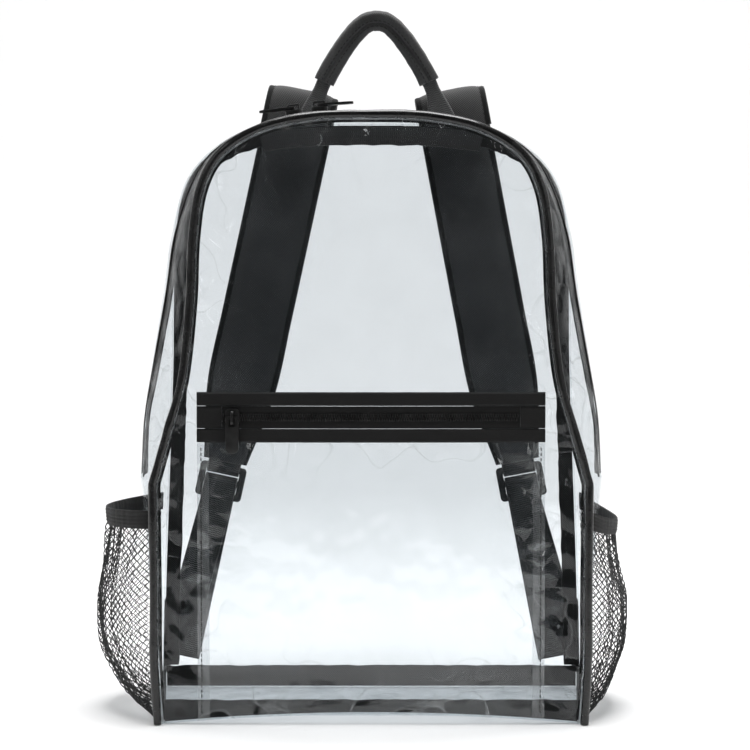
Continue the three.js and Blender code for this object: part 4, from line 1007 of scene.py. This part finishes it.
def build_main_zip():
    half = ZIP_WIDTH / 2 / BODY_DEPTH
    lap = ZIP_LAP / BODY_DEPTH
    places = np.linspace(CORNER_ROW, END - CORNER_ROW, 420)[:, None]
    shares = np.linspace(0.5 - half - lap, 0.5 + half + lap, 17)[None, :]
    sink = VINYL + 2 * GAP
    ripple = 0.35 * MM * waves(places * 45 * MM, shares * BODY_DEPTH, 91, 12 * MM, 40 * MM)
    middle = (shares - 0.5) * BODY_DEPTH
    fold = -0.5 * MM * np.exp(-((abs(middle) - 4 * MM) / (1.2 * MM)) ** 2)
    across = np.cos(middle / (ZIP_WIDTH / 2) * math.pi / 2)
    grid = gusset_point(places, shares, -sink + ripple * across + fold)
    cloth_grid("zip_main_tape", grid, 1 * MM, TAPE_FINISH, ["main_zip"])
    place = np.linspace(CORNER_ROW + 0.02, END - CORNER_ROW - 0.02, 700)
    path = gusset_point(place, 0.5, -sink + 0.75 * MM)
    teeth("zip_main_coil", path, outward(place), COIL_FINISH)


def pocket_front(x, z, stand):
    return stack(x, front_y(x, z) - POCKET_SEAT - stand, z)


def pocket_strip(name, node, from_x, to_x, from_z, to_z, seed, thick=1.6 * MM):
    """Sewn strip of black cloth on the front, with a softly rolled edge."""
    columns = max(int((to_x - from_x) / (2.5 * MM)), 8)
    x = np.linspace(from_x, to_x, columns)[:, None]
    up = np.linspace(0, 1, 9)[None, :]
    z = mix(from_z, to_z, up) + 0 * x
    edge = np.minimum(up, 1 - up) * (to_z - from_z)
    roll = np.sqrt(np.clip(edge / (1.2 * MM), 0, 1)) * 0.7 + 0.3
    pucker = 0.12 * MM * waves(x, z, seed, 5 * MM, 14 * MM)
    front = pocket_front(x, z, thick * roll + pucker * fade(edge, 0, 2 * MM))
    back = pocket_front(x, z, 0)
    points, faces = slab(front, grid_faces(*z.shape), back)
    uv = np.stack([z, x + 0 * z], -1).reshape(-1, 2)
    uv = np.concatenate([uv, uv])
    return piece(name, points, faces, BINDING_FINISH, [node], uv)


def build_pocket():
    half, top = POCKET_HALF_WIDTH, POCKET_ZIP_TOP
    low = top - POCKET_ZIP_HEIGHT
    strip = POCKET_STRIP_HEIGHT
    pocket_strip("pocket_strip_upper", "pocket_zip_upper", -half, half, top - strip, top, 101)
    pocket_strip("pocket_strip_lower", "pocket_zip_lower", -half, half, low, low + strip, 102)
    tape_low, tape_top = low + strip + GAP, top - strip - GAP
    from_x, to_x = -half + POCKET_TAB_WIDTH + GAP, half - POCKET_TAB_WIDTH - GAP
    pocket_strip("pocket_tab_left", "pocket_zip_end_left", -half, from_x - GAP, tape_low, tape_top,
                 103)
    pocket_strip("pocket_tab_right", "pocket_zip_end_right", to_x + GAP, half, tape_low, tape_top,
                 104)
    middle = (tape_low + tape_top) / 2
    x = np.linspace(from_x, to_x, 130)[:, None]
    z = np.linspace(tape_low, tape_top, 15)[None, :]
    rise = 0.9 * MM - 0.35 * MM * np.exp(-((abs(z - middle) - 3.4 * MM) / (1.0 * MM)) ** 2)
    rise = rise + 0.1 * MM * waves(x, z, 105, 6 * MM, 20 * MM)
    front = pocket_front(x, z, rise)
    points, faces = slab(front, grid_faces(len(x), z.shape[1]), pocket_front(x, z, 0 * rise))
    uv = np.stack(np.broadcast_arrays(z, x), -1).reshape(-1, 2)
    piece("pocket_zip_tape", points, faces, TAPE_FINISH, ["pocket_zip"],
          np.concatenate([uv, uv]))
    x = np.linspace(from_x, to_x, 200)
    path = pocket_front(x, middle + 0 * x, 1.15 * MM)
    teeth("pocket_zip_coil", path, stack(0 * x, -1 + 0 * x, 0 * x), COIL_FINISH)
    build_pocket_sheet(low)


def pocket_outline(low):
    half = POCKET_HALF_WIDTH
    across = np.linspace(-half, half, 80)
    bottom = np.stack([across, base_lift(across, 0) + VINYL], -1)
    upright = np.linspace(0, 1, 66)[1:-1]
    right = np.stack([np.full(len(upright), half), mix(bottom[-1, 1], low - GAP, upright)], -1)
    top = np.stack([across[::-1], np.full(len(across), low - GAP)], -1)
    left = right[::-1] * np.array([-1, 1])
    return np.concatenate([bottom, right, top, left])


def pocket_face(x, z, low):
    """Outer face of the pocket's sheet, with slack folds in it."""
    wide = np.maximum(1 - (x / POCKET_HALF_WIDTH) ** 2, 0)
    share = np.clip(z / low, 0, 1)
    full = POCKET_FULLNESS * np.sqrt(wide) * np.sqrt(np.sin(math.pi * share))
    soft = waves(x, z, 111, 40 * MM, 120 * MM) * 0.55 * MM
    fine = waves(x, z, 112, 12 * MM, 30 * MM) * 0.22 * MM
    slack = (soft + fine) * wide ** 0.3 * np.sin(math.pi * share)
    return front_y(x, z) - POCKET_SEAT - full - np.maximum(slack, -full * 0.8) - VINYL


POCKET_SHEET_THICKNESS = 0.8 * VINYL
HEM_WIDTH = 8.5 * MM
HEM_STITCH_INSET = 3 * MM
HEM_STITCH_PITCH = 3.6 * MM
HEM_STITCH_LENGTH = 2.9 * MM


def build_pocket_sheet(low):
    outline = pocket_outline(low)
    flat_sheet(
        "vinyl_pocket",
        outline,
        lambda x, z, edge: pocket_face(x, z, low),
        POCKET_SHEET_THICKNESS,
        ["pocket_panel"],
        POCKET_FINISH,
    )
    for name, side in SIDES:
        x = (POCKET_HALF_WIDTH - np.linspace(0.2 * MM, HEM_WIDTH, 6))[None, :] * side
        z = np.linspace(VINYL + 0.5 * MM, low - 0.5 * MM, 90)[:, None]
        z = z + base_lift(x, 0) * (1 - z / low)
        face = pocket_face(x, z, low)
        near, far = stack(x, face - 0.75 * MM, z), stack(x, face - 0.15 * MM, z)
        points, faces = slab(near, grid_faces(*z.shape), far)
        made = piece(f"vinyl_hem_{name}", points, faces, HEM_FINISH)
        slacken(made, np.full(len(points), HEM_SLACK))
        z = np.linspace(8 * MM, low - 2 * MM, 120)
        x = np.full(z.shape, side * (POCKET_HALF_WIDTH - HEM_STITCH_INSET))
        path = stack(x, pocket_face(x, z, low) - 0.8 * MM, z)
        off = stack(0 * x, -1 + 0 * x, 0 * x)
        stitch_row(f"pocket_stitches_{name}", path, off, THREAD_FINISH, HEM_STITCH_PITCH,
                   HEM_STITCH_LENGTH)


# Net side pockets
NET_CELL_WIDTH = 4.6 * MM
NET_CELL_HEIGHT = 6.2 * MM
NET_YARN = 0.42 * MM
NET_BAND_RIBS = 5
NET_GATHER = 1.45
NET_FOLD_DEPTH = 2.0 * MM
NET_ZIGZAG = 0.44


def net_bulge(side, up):
    rows = column(NET_ROWS, "up")
    place = np.interp(up, rows, np.arange(len(rows)))
    return smooth(column(NET_ROWS, "left" if side < 0 else "right"), place) * NET_FULLNESS


def net_surface(side, up, turn, push=0.0):
    """Point on the net pocket: up from base to rim, turn from the front seam to the back seam."""
    up, turn, push = np.broadcast_arrays(up, turn, push)
    arch = np.maximum(np.sin(math.pi * turn), 0) ** 0.6
    along = place_at_height(up * NET_POCKET_HEIGHT - NET_DROOP_HEIGHT[side] * arch * up**2)
    place = along if side > 0 else END - along
    share = mix(NET_EDGE_SHARE, 1 - NET_EDGE_SHARE, turn)
    return gusset_point(place, share, NET_SEAT + net_bulge(side, up) * arch + push)


def net_folds(side, up, turn):
    """Gathers of the net: upright folds that are deepest under the band and at the base."""
    gather = 0.45 + 0.9 * abs(up - 0.45) ** 1.2
    sway = 0.03 * np.sin(up * 5.2 + side)
    folds = waves(turn + sway, up * 0.12, 121 + side, 0.06, 0.17, 11)
    rise = np.sin(math.pi * np.clip(turn, 0, 1)) ** 0.4
    return folds * gather * NET_FOLD_DEPTH * rise + 0.8 * MM


def build_nets():
    for name, side in SIDES:
        rim = np.linspace(0, 1, 60)
        flat = run_length(net_surface(side, 0.6, rim))[-1] * NET_GATHER
        strands = int(flat / NET_CELL_WIDTH)
        rows = int(NET_POCKET_HEIGHT * 1.08 / (NET_CELL_HEIGHT / 2))
        steps = rows * 2 + 1
        station = np.arange(steps) / (steps - 1)
        zigzag = abs((station * rows) % 2 - 1) * 2 - 1
        zigzag = np.sign(zigzag) * abs(zigzag) ** 0.8
        strand = np.arange(strands + 1)[:, None]
        flip = np.where(strand % 2 == 0, 1, -1)
        turn = (strand + NET_ZIGZAG * flip * zigzag[None, :]) / strands
        turn = np.clip(turn, 0.004, 0.996)
        up = np.broadcast_to(mix(0.012, 0.998, station)[None, :], turn.shape)
        crest = 0.35 * MM * np.where(flip > 0, 1, -1) * np.ones(turn.shape)
        push = net_folds(side, up, turn) + 0.4 * crest
        paths = net_surface(side, up, turn, push)
        normals = outward(np.where(side > 0, 1.5, END - 1.5) + 0 * turn)
        points, faces = tubes(paths, normals, NET_YARN)
        node = f"net_pocket_{name}"
        piece(f"net_{name}", points, faces, NET_FINISH, [node], sharp=80)
        build_net_band(name, side)


def build_net_band(name, side):
    """Elastic band, bunched by its own pull, round the rim of a net pocket."""
    turn = np.linspace(0, 1, 110)[None, :]
    up = np.linspace(1, 1 + NET_BAND_HEIGHT / NET_POCKET_HEIGHT, 31)[:, None]
    share = (up - 1) / (NET_BAND_HEIGHT / NET_POCKET_HEIGHT)
    bunch = 0.16 * MM * waves(turn * 0.17, 0 * up, 131 + side, 5 * MM, 12 * MM)
    ribs = 0.22 * MM * np.cos(math.tau * NET_BAND_RIBS * share)
    roll = np.sqrt(np.clip(np.minimum(share, 1 - share) * 5, 0, 1))
    face = net_surface(side, up, turn, NET_SEAT + 1.1 * MM + bunch * np.sin(math.pi * turn) ** 0.4)
    normals = grid_normals(face)
    outer = face + normals * ((0.6 + 0.6 * roll) * MM + ribs)[..., None]
    inner = face - normals * (0.3 + 0.5 * roll[..., None]) * MM
    points, faces = slab(outer, grid_faces(*face.shape[:2]), inner)
    uv = grid_uv(face).reshape(-1, 2)[:, ::-1]
    return piece(f"net_band_{name}", points, faces, BINDING_FINISH, [f"net_pocket_band_{name}"],
                 np.concatenate([uv, uv]))


# Sweeps of a cross-section along a line
def sweep(name, centres, across, through, profiles, finish, stands_for=(), sharp=50):
    """Closed solid through rows of loops; profiles hold (across, through) of each loop's points."""
    centres, across, through = (np.asarray(v, float) for v in (centres, across, through))
    profiles = np.asarray(profiles, float)
    if profiles.ndim == 2:
        profiles = np.repeat(profiles[None], len(centres), 0)
    rings = (
        centres[:, None, :]
        + profiles[..., [0]] * across[:, None, :]
        + profiles[..., [1]] * through[:, None, :]
    )
    rows, count = rings.shape[:2]
    faces = grid_faces(rows, count, closed=True).tolist()
    faces += [tuple(range(count)), tuple(range((rows - 1) * count, rows * count))]
    length = run_length(centres)
    uv = np.stack([profiles[..., 0], np.repeat(length[:, None], count, 1)], -1).reshape(-1, 2)
    points = rings.reshape(-1, 3)
    return piece(name, points, faces, finish, stands_for, uv, sharp=sharp)


def flat_loop(width, thickness, count=8):
    """Loop of a flat band with rounded sides."""
    radius = thickness / 2
    half = width / 2 - radius
    turn = np.linspace(-math.pi / 2, math.pi / 2, 5)
    right = np.stack([half + radius * np.cos(turn), thickness / 2 * np.sin(turn)], -1)
    top = np.stack([np.linspace(half, -half, count + 2)[1:-1], np.full(count, thickness / 2)], -1)
    left = -right
    bottom = -top
    return np.concatenate([right, top, left, bottom])


# Carry handle
def handle_point(place):
    last = len(HANDLE_ROWS) - 1
    side = -1 if place <= last else 1
    along = place if place <= last else 2 * last - place
    across = smooth(column(HANDLE_ROWS, "across"), along, -1, -1) * HANDLE_HALF_SPAN
    up = smooth(column(HANDLE_ROWS, "up"), along, -1, 1) * HANDLE_RISE
    y = BODY_DEPTH + GAP + HANDLE_WEB_THICKNESS / 2
    z = BODY_HEIGHT - HANDLE_FOOT_DROP + float(up)
    return Vector((HANDLE_CENTRE_X + side * float(across), y, z))


def handle_frame(place):
    step = 0.05
    last = 2 * (len(HANDLE_ROWS) - 1)
    here = handle_point(place)
    ahead, behind = handle_point(min(place + step, last)), handle_point(max(place - step, 0))
    along = (ahead - behind).normalized()
    rise = (here.z - BODY_HEIGHT + HANDLE_FOOT_DROP) / HANDLE_RISE
    tilt = math.radians(HANDLE_TILT) * max(rise, 0) ** 3
    across = Matrix.Rotation(tilt, 3, along) @ Vector((along.z, 0, -along.x))
    return here, across, along.cross(across)


def wrap_start():
    place = 0.0
    while handle_point(place).z < BODY_HEIGHT - HANDLE_FOOT_DROP + HANDLE_RISE * HANDLE_WRAP_FROM:
        place += 0.1
    return place


def build_handle():
    last = 2 * (len(HANDLE_ROWS) - 1)
    start = wrap_start()
    rows = [(place, *handle_frame(place)) for place in np.linspace(0, last, 120)]
    profiles = []
    for place, *_ in rows:
        end = min(place, last - place)
        folded = min(max((end - 0.4) / (start - 0.7), 0), 1)
        width = mix(HANDLE_WEB_WIDTH, HANDLE_CORE_WIDTH, folded)
        thick = mix(HANDLE_WEB_THICKNESS, HANDLE_CORE_THICKNESS, folded)
        profiles.append(flat_loop(width, thick))
    centres, across, through = ([r[k] for r in rows] for k in (1, 2, 3))
    sweep("handle_web", centres, across, through, profiles, HANDLE_WEB_PAINTED_LIGHT_FINISH,
          ["handle_webbing"])
    rows = [handle_frame(place) for place in np.linspace(start, last - start, 130)]
    centres, across, through = ([r[k] for r in rows] for k in (0, 1, 2))
    sweep("handle_grip", centres, across, through, wrap_profiles(len(rows)), HANDLE_WRAP_PAINTED_LIGHT_FINISH,
          ["handle_wrap"])
    face = np.array(centres) - np.array(through) * (HANDLE_WRAP_THICKNESS / 2)
    for name, shift in (("upper", 2.2), ("lower", -2.2)):
        path = face + np.array(across) * shift * MM
        stitch_row(f"handle_stitches_{name}", path, -np.array(through), THREAD_FINISH)


def wrap_profiles(rows):
    """Rounded wrap whose two folded edges meet along the middle of the side towards the front."""
    width, thick = HANDLE_WRAP_WIDTH / 2, HANDLE_WRAP_THICKNESS / 2
    turn = np.arange(40) * math.tau / 40 - math.pi / 2
    x = width * np.sign(np.cos(turn)) * abs(np.cos(turn)) ** 0.7
    y = thick * np.sign(np.sin(turn)) * abs(np.sin(turn)) ** 0.55
    groove = np.exp(-(x / (0.9 * MM)) ** 2) * (y < 0) * 1.3 * MM
    profiles = np.repeat(np.stack([x, y + groove], -1)[None], rows, 0)
    puff = 1 + 0.02 * waves(np.arange(rows)[:, None] * 2 * MM, 0 * x[None, :], 141, 9 * MM, 30 * MM)
    return profiles * puff[..., None]


# Shoulder straps
def strap_x(side, z):
    share = (STRAP_TOP_Z - z) / (STRAP_TOP_Z - STRAP_END_Z)
    return mix(HANDLE_CENTRE_X, 0, share) + side * mix(STRAP_TOP_X, STRAP_END_X, share)


def strap_centre(side, place):
    out = float(smooth(column(STRAP_ROWS, "out"), place)) * STRAP_STANDOFF
    down = float(smooth(column(STRAP_ROWS, "down"), place)) * (STRAP_TOP_Z - STRAP_END_Z)
    z = STRAP_TOP_Z - STRAP_THICKNESS / 2 - down
    seat = 2 * GAP + (HANDLE_WEB_THICKNESS + HANDLE_CORE_THICKNESS) / 2 + STRAP_THICKNESS / 2
    return Vector((strap_x(side, z), BODY_DEPTH + seat + out, z))


def strap_frame(side, place):
    step = 0.05
    last = len(STRAP_ROWS) - 1
    ahead = strap_centre(side, min(place + step, last))
    behind = strap_centre(side, max(place - step, 0))
    along = (ahead - behind).normalized()
    spread = side * (STRAP_END_X - STRAP_TOP_X) - HANDLE_CENTRE_X
    across = Vector((1, 0, spread / (STRAP_TOP_Z - STRAP_END_Z))).normalized()
    return strap_centre(side, place), along, across, along.cross(across)


def pad_loop(width, thickness):
    """Crowned pad with thin bound edges."""
    turn = np.arange(48) * math.tau / 48
    x = width / 2 * np.sign(np.cos(turn)) * abs(np.cos(turn)) ** 0.75
    crown = np.sqrt(np.clip(1 - (abs(x) / (width / 2 - 4 * MM)) ** 4, 0, 1))
    y = np.sign(np.sin(turn)) * mix(1.3 * MM, thickness / 2, crown)
    y = y * np.minimum(abs(np.sin(turn)) * 6, 1)
    return np.stack([x, y], -1)


def build_straps():
    last = len(STRAP_ROWS) - 1
    for name, side in SIDES:
        places = np.linspace(0, last, 190)
        rows = [strap_frame(side, place) for place in places]
        centres, along, across, through = ([r[k] for r in rows] for k in range(4))
        loop = pad_loop(STRAP_WIDTH, STRAP_THICKNESS)
        length = run_length(np.array(centres))[:, None]
        dent = 0.25 * MM * waves(length, loop[None, :, 0], 151 + side, 18 * MM, 60 * MM)
        profiles = np.repeat(loop[None], len(rows), 0)
        narrow = smooth(column(STRAP_ROWS, "width"), places)
        profiles[..., 0] *= narrow[:, None]
        half = abs(profiles[..., 1])
        swell = (dent - 0.3 * MM) * fade(half, 1 * MM, 3 * MM)
        profiles[..., 1] += np.sign(profiles[..., 1]) * swell
        pad = sweep(f"strap_pad_{name}", centres, across, through, profiles, STRAP_FINISH,
                    [f"shoulder_strap_{name}"])
        build_strap_edges(name, narrow, centres, across, through)
        build_strap_end(name, side)


STRAP_TAPE_WIDTH = 6 * MM
STRAP_TAPE_THICKNESS = 3.4 * MM
STRAP_TAPE_INSET = 2.9 * MM
STRAP_STITCH_INSET = 1.6 * MM


def build_strap_edges(name, narrow, centres, across, through):
    """Bias tape sewn over both long edges of a strap, and its stitches."""
    centres, across, through = (np.array(v) for v in (centres, across, through))
    for k, way in enumerate((-1, 1)):
        loop = flat_loop(STRAP_TAPE_WIDTH, STRAP_TAPE_THICKNESS, count=4)
        middle = centres + across * way * (STRAP_WIDTH / 2 * narrow[:, None] - STRAP_TAPE_INSET)
        sweep(f"strap_edge_{name}_{k}", middle, across, through, loop, BINDING_FINISH)
        path = middle - across * way * STRAP_STITCH_INSET
        for face, turn in (("front", -1), ("back", 1)):
            stitch_row(f"strap_stitches_{name}_{k}_{face}", path + turn * through * 1.75 * MM,
                       turn * through, THREAD_FINISH)


def turn_round(centre, down, back, radius, reach_front, reach_back, over=1):
    """Line of a ribbon that goes up one side of a bar, over it and down the other."""
    points = [centre + down * (reach_front * over) - back * radius]
    for angle in np.linspace(0, math.pi, 13):
        outwards, upwards = radius * math.cos(angle), over * radius * math.sin(angle)
        points.append(centre - back * outwards - down * upwards)
    points.append(centre + down * (reach_back * over) + back * radius)
    return points


def ribbon(name, points, acrosses, width, thickness, finish, stands_for):
    """Webbing along a line, resampled so that it bends evenly."""
    points, acrosses = np.array(points), np.array(acrosses)
    lengths = run_length(points)
    at = np.linspace(0, lengths[-1], max(int(lengths[-1] / (2 * MM)), 12))
    at = np.unique(np.concatenate([at, lengths]))
    line = np.stack([np.interp(at, lengths, points[:, k]) for k in range(3)], -1)
    wide = np.stack([np.interp(at, lengths, acrosses[:, k]) for k in range(3)], -1)
    along = unit(np.gradient(line, axis=0))
    square = unit(wide - along * (wide * along).sum(-1, keepdims=True))
    return sweep(name, line, square, np.cross(along, square), flat_loop(width, thickness), finish,
                 stands_for)


def seam_at_height(side, z):
    return Vector((side * float(seam(place_at_height(z))["back_x"]), 0, z))


TAB_LOW = 6 * MM
TAB_SEAM_LENGTH = 60 * MM
TAB_TIP_Z = 80 * MM
TAB_REACH = 24 * MM
TAB_TIP_WIDTH = 30 * MM
TAB_THICKNESS = 2 * MM
TAB_LAP = 14 * MM


def build_tab(name, side):
    low, high = seam_at_height(side, TAB_LOW), seam_at_height(side, TAB_LOW + TAB_SEAM_LENGTH)
    tip = Vector((side * (float(seam(0)["back_x"]) - TAB_REACH), 0, TAB_TIP_Z))
    down = (low.lerp(high, 0.35) - tip).normalized()
    across = Vector((-down.z, 0, down.x))
    inner = tip - across * (side * TAB_TIP_WIDTH / 2)
    outer = tip + across * (side * TAB_TIP_WIDTH / 2)
    near = BODY_DEPTH + GAP
    u = np.linspace(0, 1, 22)[:, None, None]
    v = np.linspace(0, 1, 16)[None, :, None]
    flat = mix(mix(np.array(low), np.array(high), v), mix(np.array(inner), np.array(outer), v), u)
    edge = np.minimum(np.minimum(u, 1 - u), np.minimum(v, 1 - v))[..., 0]
    puff = np.sqrt(np.clip(edge * 12, 0, 1)) * 0.5 * TAB_THICKNESS
    ripple = 0.15 * MM * waves(flat[..., 0], flat[..., 2], 161 + side, 8 * MM, 24 * MM)
    front, back = flat.copy(), flat.copy()
    front[..., 1] = near + (TAB_THICKNESS / 2 - puff) * 0.6
    back[..., 1] = near + TAB_THICKNESS / 2 + puff + ripple * np.clip(edge * 12, 0, 1)
    points, faces = slab(back, grid_faces(22, 16), front)
    uv = np.stack([flat[..., 0], flat[..., 2]], -1).reshape(-1, 2)
    piece(f"tab_{name}", points, faces, BINDING_FINISH, [f"strap_tab_{name}"],
          np.concatenate([uv, uv]))
    inset = np.array([0, TAB_THICKNESS + 0.1 * MM, 0])
    path = np.array([inner.lerp(low, 0.08), inner.lerp(low, 0.9)])
    offs = np.array([[0, 1.0, 0], [0, 1.0, 0]])
    shift = np.array(across) * side * 3 * MM + inset + np.array([0, near, 0])
    stitch_row(f"tab_stitches_{name}", path + shift, offs, THREAD_FINISH)
    point = Vector((tip.x, near + TAB_THICKNESS + GAP + WEBBING_THICKNESS / 2, tip.z))
    return point, down, across


def build_strap_end(name, side):
    last = len(STRAP_ROWS) - 1
    centre, along, across, through = strap_frame(side, last)
    corner = math.hypot(BUCKLE_THICKNESS, BUCKLE_BAR) / 2
    radius = corner / math.cos(math.pi / 8) + GAP + WEBBING_THICKNESS / 2
    drop = BUCKLE_BAR / 2 + LOCK_LOOP_LENGTH
    top_bar = centre + along * drop
    lock = top_bar + along * (BUCKLE_HEIGHT / 2 - BUCKLE_BAR / 2)
    hang = turn_round(top_bar, along, through, radius, drop - GAP, drop - GAP, -1)
    ribbon(f"loop_{name}", hang, [across] * len(hang), WEBBING_WIDTH, WEBBING_THICKNESS,
           WEBBING_FINISH, [f"lock_loop_{name}"])
    point, down, tab_across = build_tab(name, side)
    run = turn_round(lock, along, through, radius, TAIL_LENGTH, BUCKLE_HEIGHT / 2 + 4 * MM)
    wide = [across] * len(run)
    run += [point, point + down * TAB_LAP]
    wide += [tab_across, tab_across]
    ribbon(f"webbing_{name}", run, wide, WEBBING_WIDTH, WEBBING_THICKNESS, WEBBING_FINISH,
           [f"strap_webbing_{name}"])
    bevelled(f"lock_{name}", f"ladder_lock_{name}", PLASTIC_FINISH, 0.6 * MM)


# Hard pieces: the solids with rounded edges
def bevelled(name, node, finish, width, body="root"):
    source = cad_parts[node]
    form = bmesh.new()
    form.from_mesh(source.data)
    bmesh.ops.remove_doubles(form, verts=form.verts, dist=1e-6)
    bmesh.ops.dissolve_limit(form, angle_limit=math.radians(1), verts=form.verts, edges=form.edges)
    paired = [e for e in form.edges if len(e.link_faces) == 2]
    edges = [e for e in paired if e.calc_face_angle() > math.radians(30)]
    bmesh.ops.bevel(form, geom=edges, offset=width, segments=2, profile=0.6, affect="EDGES",
                    clamp_overlap=True)
    bmesh.ops.triangulate(form, faces=[f for f in form.faces if len(f.verts) > 4])
    points = np.array([v.co for v in form.verts])
    form.verts.index_update()
    faces = [tuple(v.index for v in f.verts) for f in form.faces]
    form.free()
    return placed(name, points, faces, finish, [node], body=body, sharp=45)


def build_sliders():
    for name, pull_body in (
        ("main_zip_left", "main_pull_left"),
        ("main_zip_right", "main_pull_right"),
        ("pocket_zip", "pocket_pull"),
    ):
        bevelled(f"{name}_runner", f"{name}_slider", METAL_FINISH, 0.45 * MM)
        bevelled(f"{name}_tag", f"{name}_pull", METAL_FINISH, 0.3 * MM, pull_body)


# Stage
FLOOR_NEAR = -0.75
FLOOR_HALF_WIDTH = 4.0
WALL_START = 1.6
WALL_CURVE = 0.9
WALL_HEIGHT = 3.4


def build_stage():
    """Pale floor that curves up into a pale wall behind the bag."""
    profile = [(FLOOR_NEAR, 0.0), (WALL_START, 0.0)]
    profile += [
        (WALL_START + WALL_CURVE * math.sin(a), WALL_CURVE * (1 - math.cos(a)))
        for a in np.linspace(0, math.pi / 2, 14)[1:]
    ]
    profile.append((WALL_START + WALL_CURVE, WALL_HEIGHT))
    verts = [(x, y, z) for y, z in profile for x in (-FLOOR_HALF_WIDTH, FLOOR_HALF_WIDTH)]
    faces = [(2 * k, 2 * k + 1, 2 * k + 3, 2 * k + 2) for k in range(len(profile) - 1)]
    mesh = bpy.data.meshes.new("floor")
    mesh.from_pydata(verts, [], faces)
    mesh.shade_smooth()
    s = Shader("pale_floor")
    made = s.node("ShaderNodeBsdfPrincipled", Roughness=0.9)
    tone = s.noise(s.place(), 3, 2, 0.5)
    s.set(made, "Base Color", s.blend(tone, (0.9, 0.9, 0.9, 1), (0.94, 0.94, 0.94, 1)))
    s.finish(made.outputs[0])
    mesh.materials.append(s.material)
    floor = bpy.data.objects.new("floor", mesh)
    bpy.context.scene.collection.objects.link(floor)


WORLD_STRENGTH = 0.04
WORLD_COLOUR = (0.97, 0.985, 1, 1)
BAG_MIDDLE = (0, 0, 0.24)
WALL_MIDDLE = (0, 2.4, 0.8)
FLOOR_BEHIND = (0, 1.3, 0)
# Name, place, target, width and height in metres, and power in watts of each softbox
LIGHTS = [
    ("key", (-1.5, -1.7, 1.7), BAG_MIDDLE, 0.4, 0.4, 4),
    ("fill", (1.7, -1.4, 1.0), BAG_MIDDLE, 0.3, 0.8, 2.5),
    ("strip_left", (-0.85, -1.6, 0.75), BAG_MIDDLE, 0.07, 0.9, 1.2),
    ("strip_right", (0.9, -1.5, 0.5), BAG_MIDDLE, 0.07, 0.9, 1.0),
    ("edge_left", (-1.3, -0.35, 0.6), BAG_MIDDLE, 0.1, 1.2, 1.6),
    ("edge_right", (1.3, -0.35, 0.6), BAG_MIDDLE, 0.1, 1.2, 1.6),
    ("top", (0.1, 0.0, 2.2), BAG_MIDDLE, 1.2, 1.2, 60),
    ("backdrop_left", (-1.9, 0.9, 1.5), WALL_MIDDLE, 1.2, 1.2, 14),
    ("backdrop_right", (1.9, 0.9, 1.5), WALL_MIDDLE, 1.2, 1.2, 14),
    ("backdrop_low", (0, 1.3, 2.4), FLOOR_BEHIND, 1.6, 1.6, 11),
]


def add_light(name, place, target, width, height, power):
    data = bpy.data.lights.new(name, "AREA")
    data.shape = "RECTANGLE"
    data.size, data.size_y = width, height
    data.energy = power
    obj = bpy.data.objects.new(name, data)
    bpy.context.scene.collection.objects.link(obj)
    obj.location = place
    aim = Vector(target) - Vector(place)
    obj.rotation_euler = aim.to_track_quat("-Z", "Y").to_euler()
    return obj


def build_lights():
    scene = bpy.context.scene
    world = bpy.data.worlds.new("studio")
    world.use_nodes = True
    background = world.node_tree.nodes["Background"]
    background.inputs["Color"].default_value = WORLD_COLOUR
    background.inputs["Strength"].default_value = WORLD_STRENGTH
    scene.world = world
    scene.view_settings.view_transform = "Standard"
    scene.cycles.transparent_max_bounces = 40
    scene.cycles.max_bounces = 4
    scene.cycles.diffuse_bounces = 2
    scene.cycles.glossy_bounces = 2
    for light in LIGHTS:
        add_light(*light)


def build_camera():
    data = bpy.data.cameras.new("camera")
    data.lens = CAMERA_LENS
    data.sensor_width = SENSOR_WIDTH
    obj = bpy.data.objects.new("camera", data)
    bpy.context.scene.collection.objects.link(obj)
    obj.location = CAMERA_PLACE
    obj.rotation_euler = (math.radians(90 - CAMERA_TILT), 0, 0)
    bpy.context.scene.camera = obj


build_camera()
build_stage()
build_lights()
build_vinyl()
build_piping()
build_bindings()
build_main_zip()
build_pocket()
build_nets()
build_handle()
build_straps()
build_sliders()

bpy.context.view_layer.update()
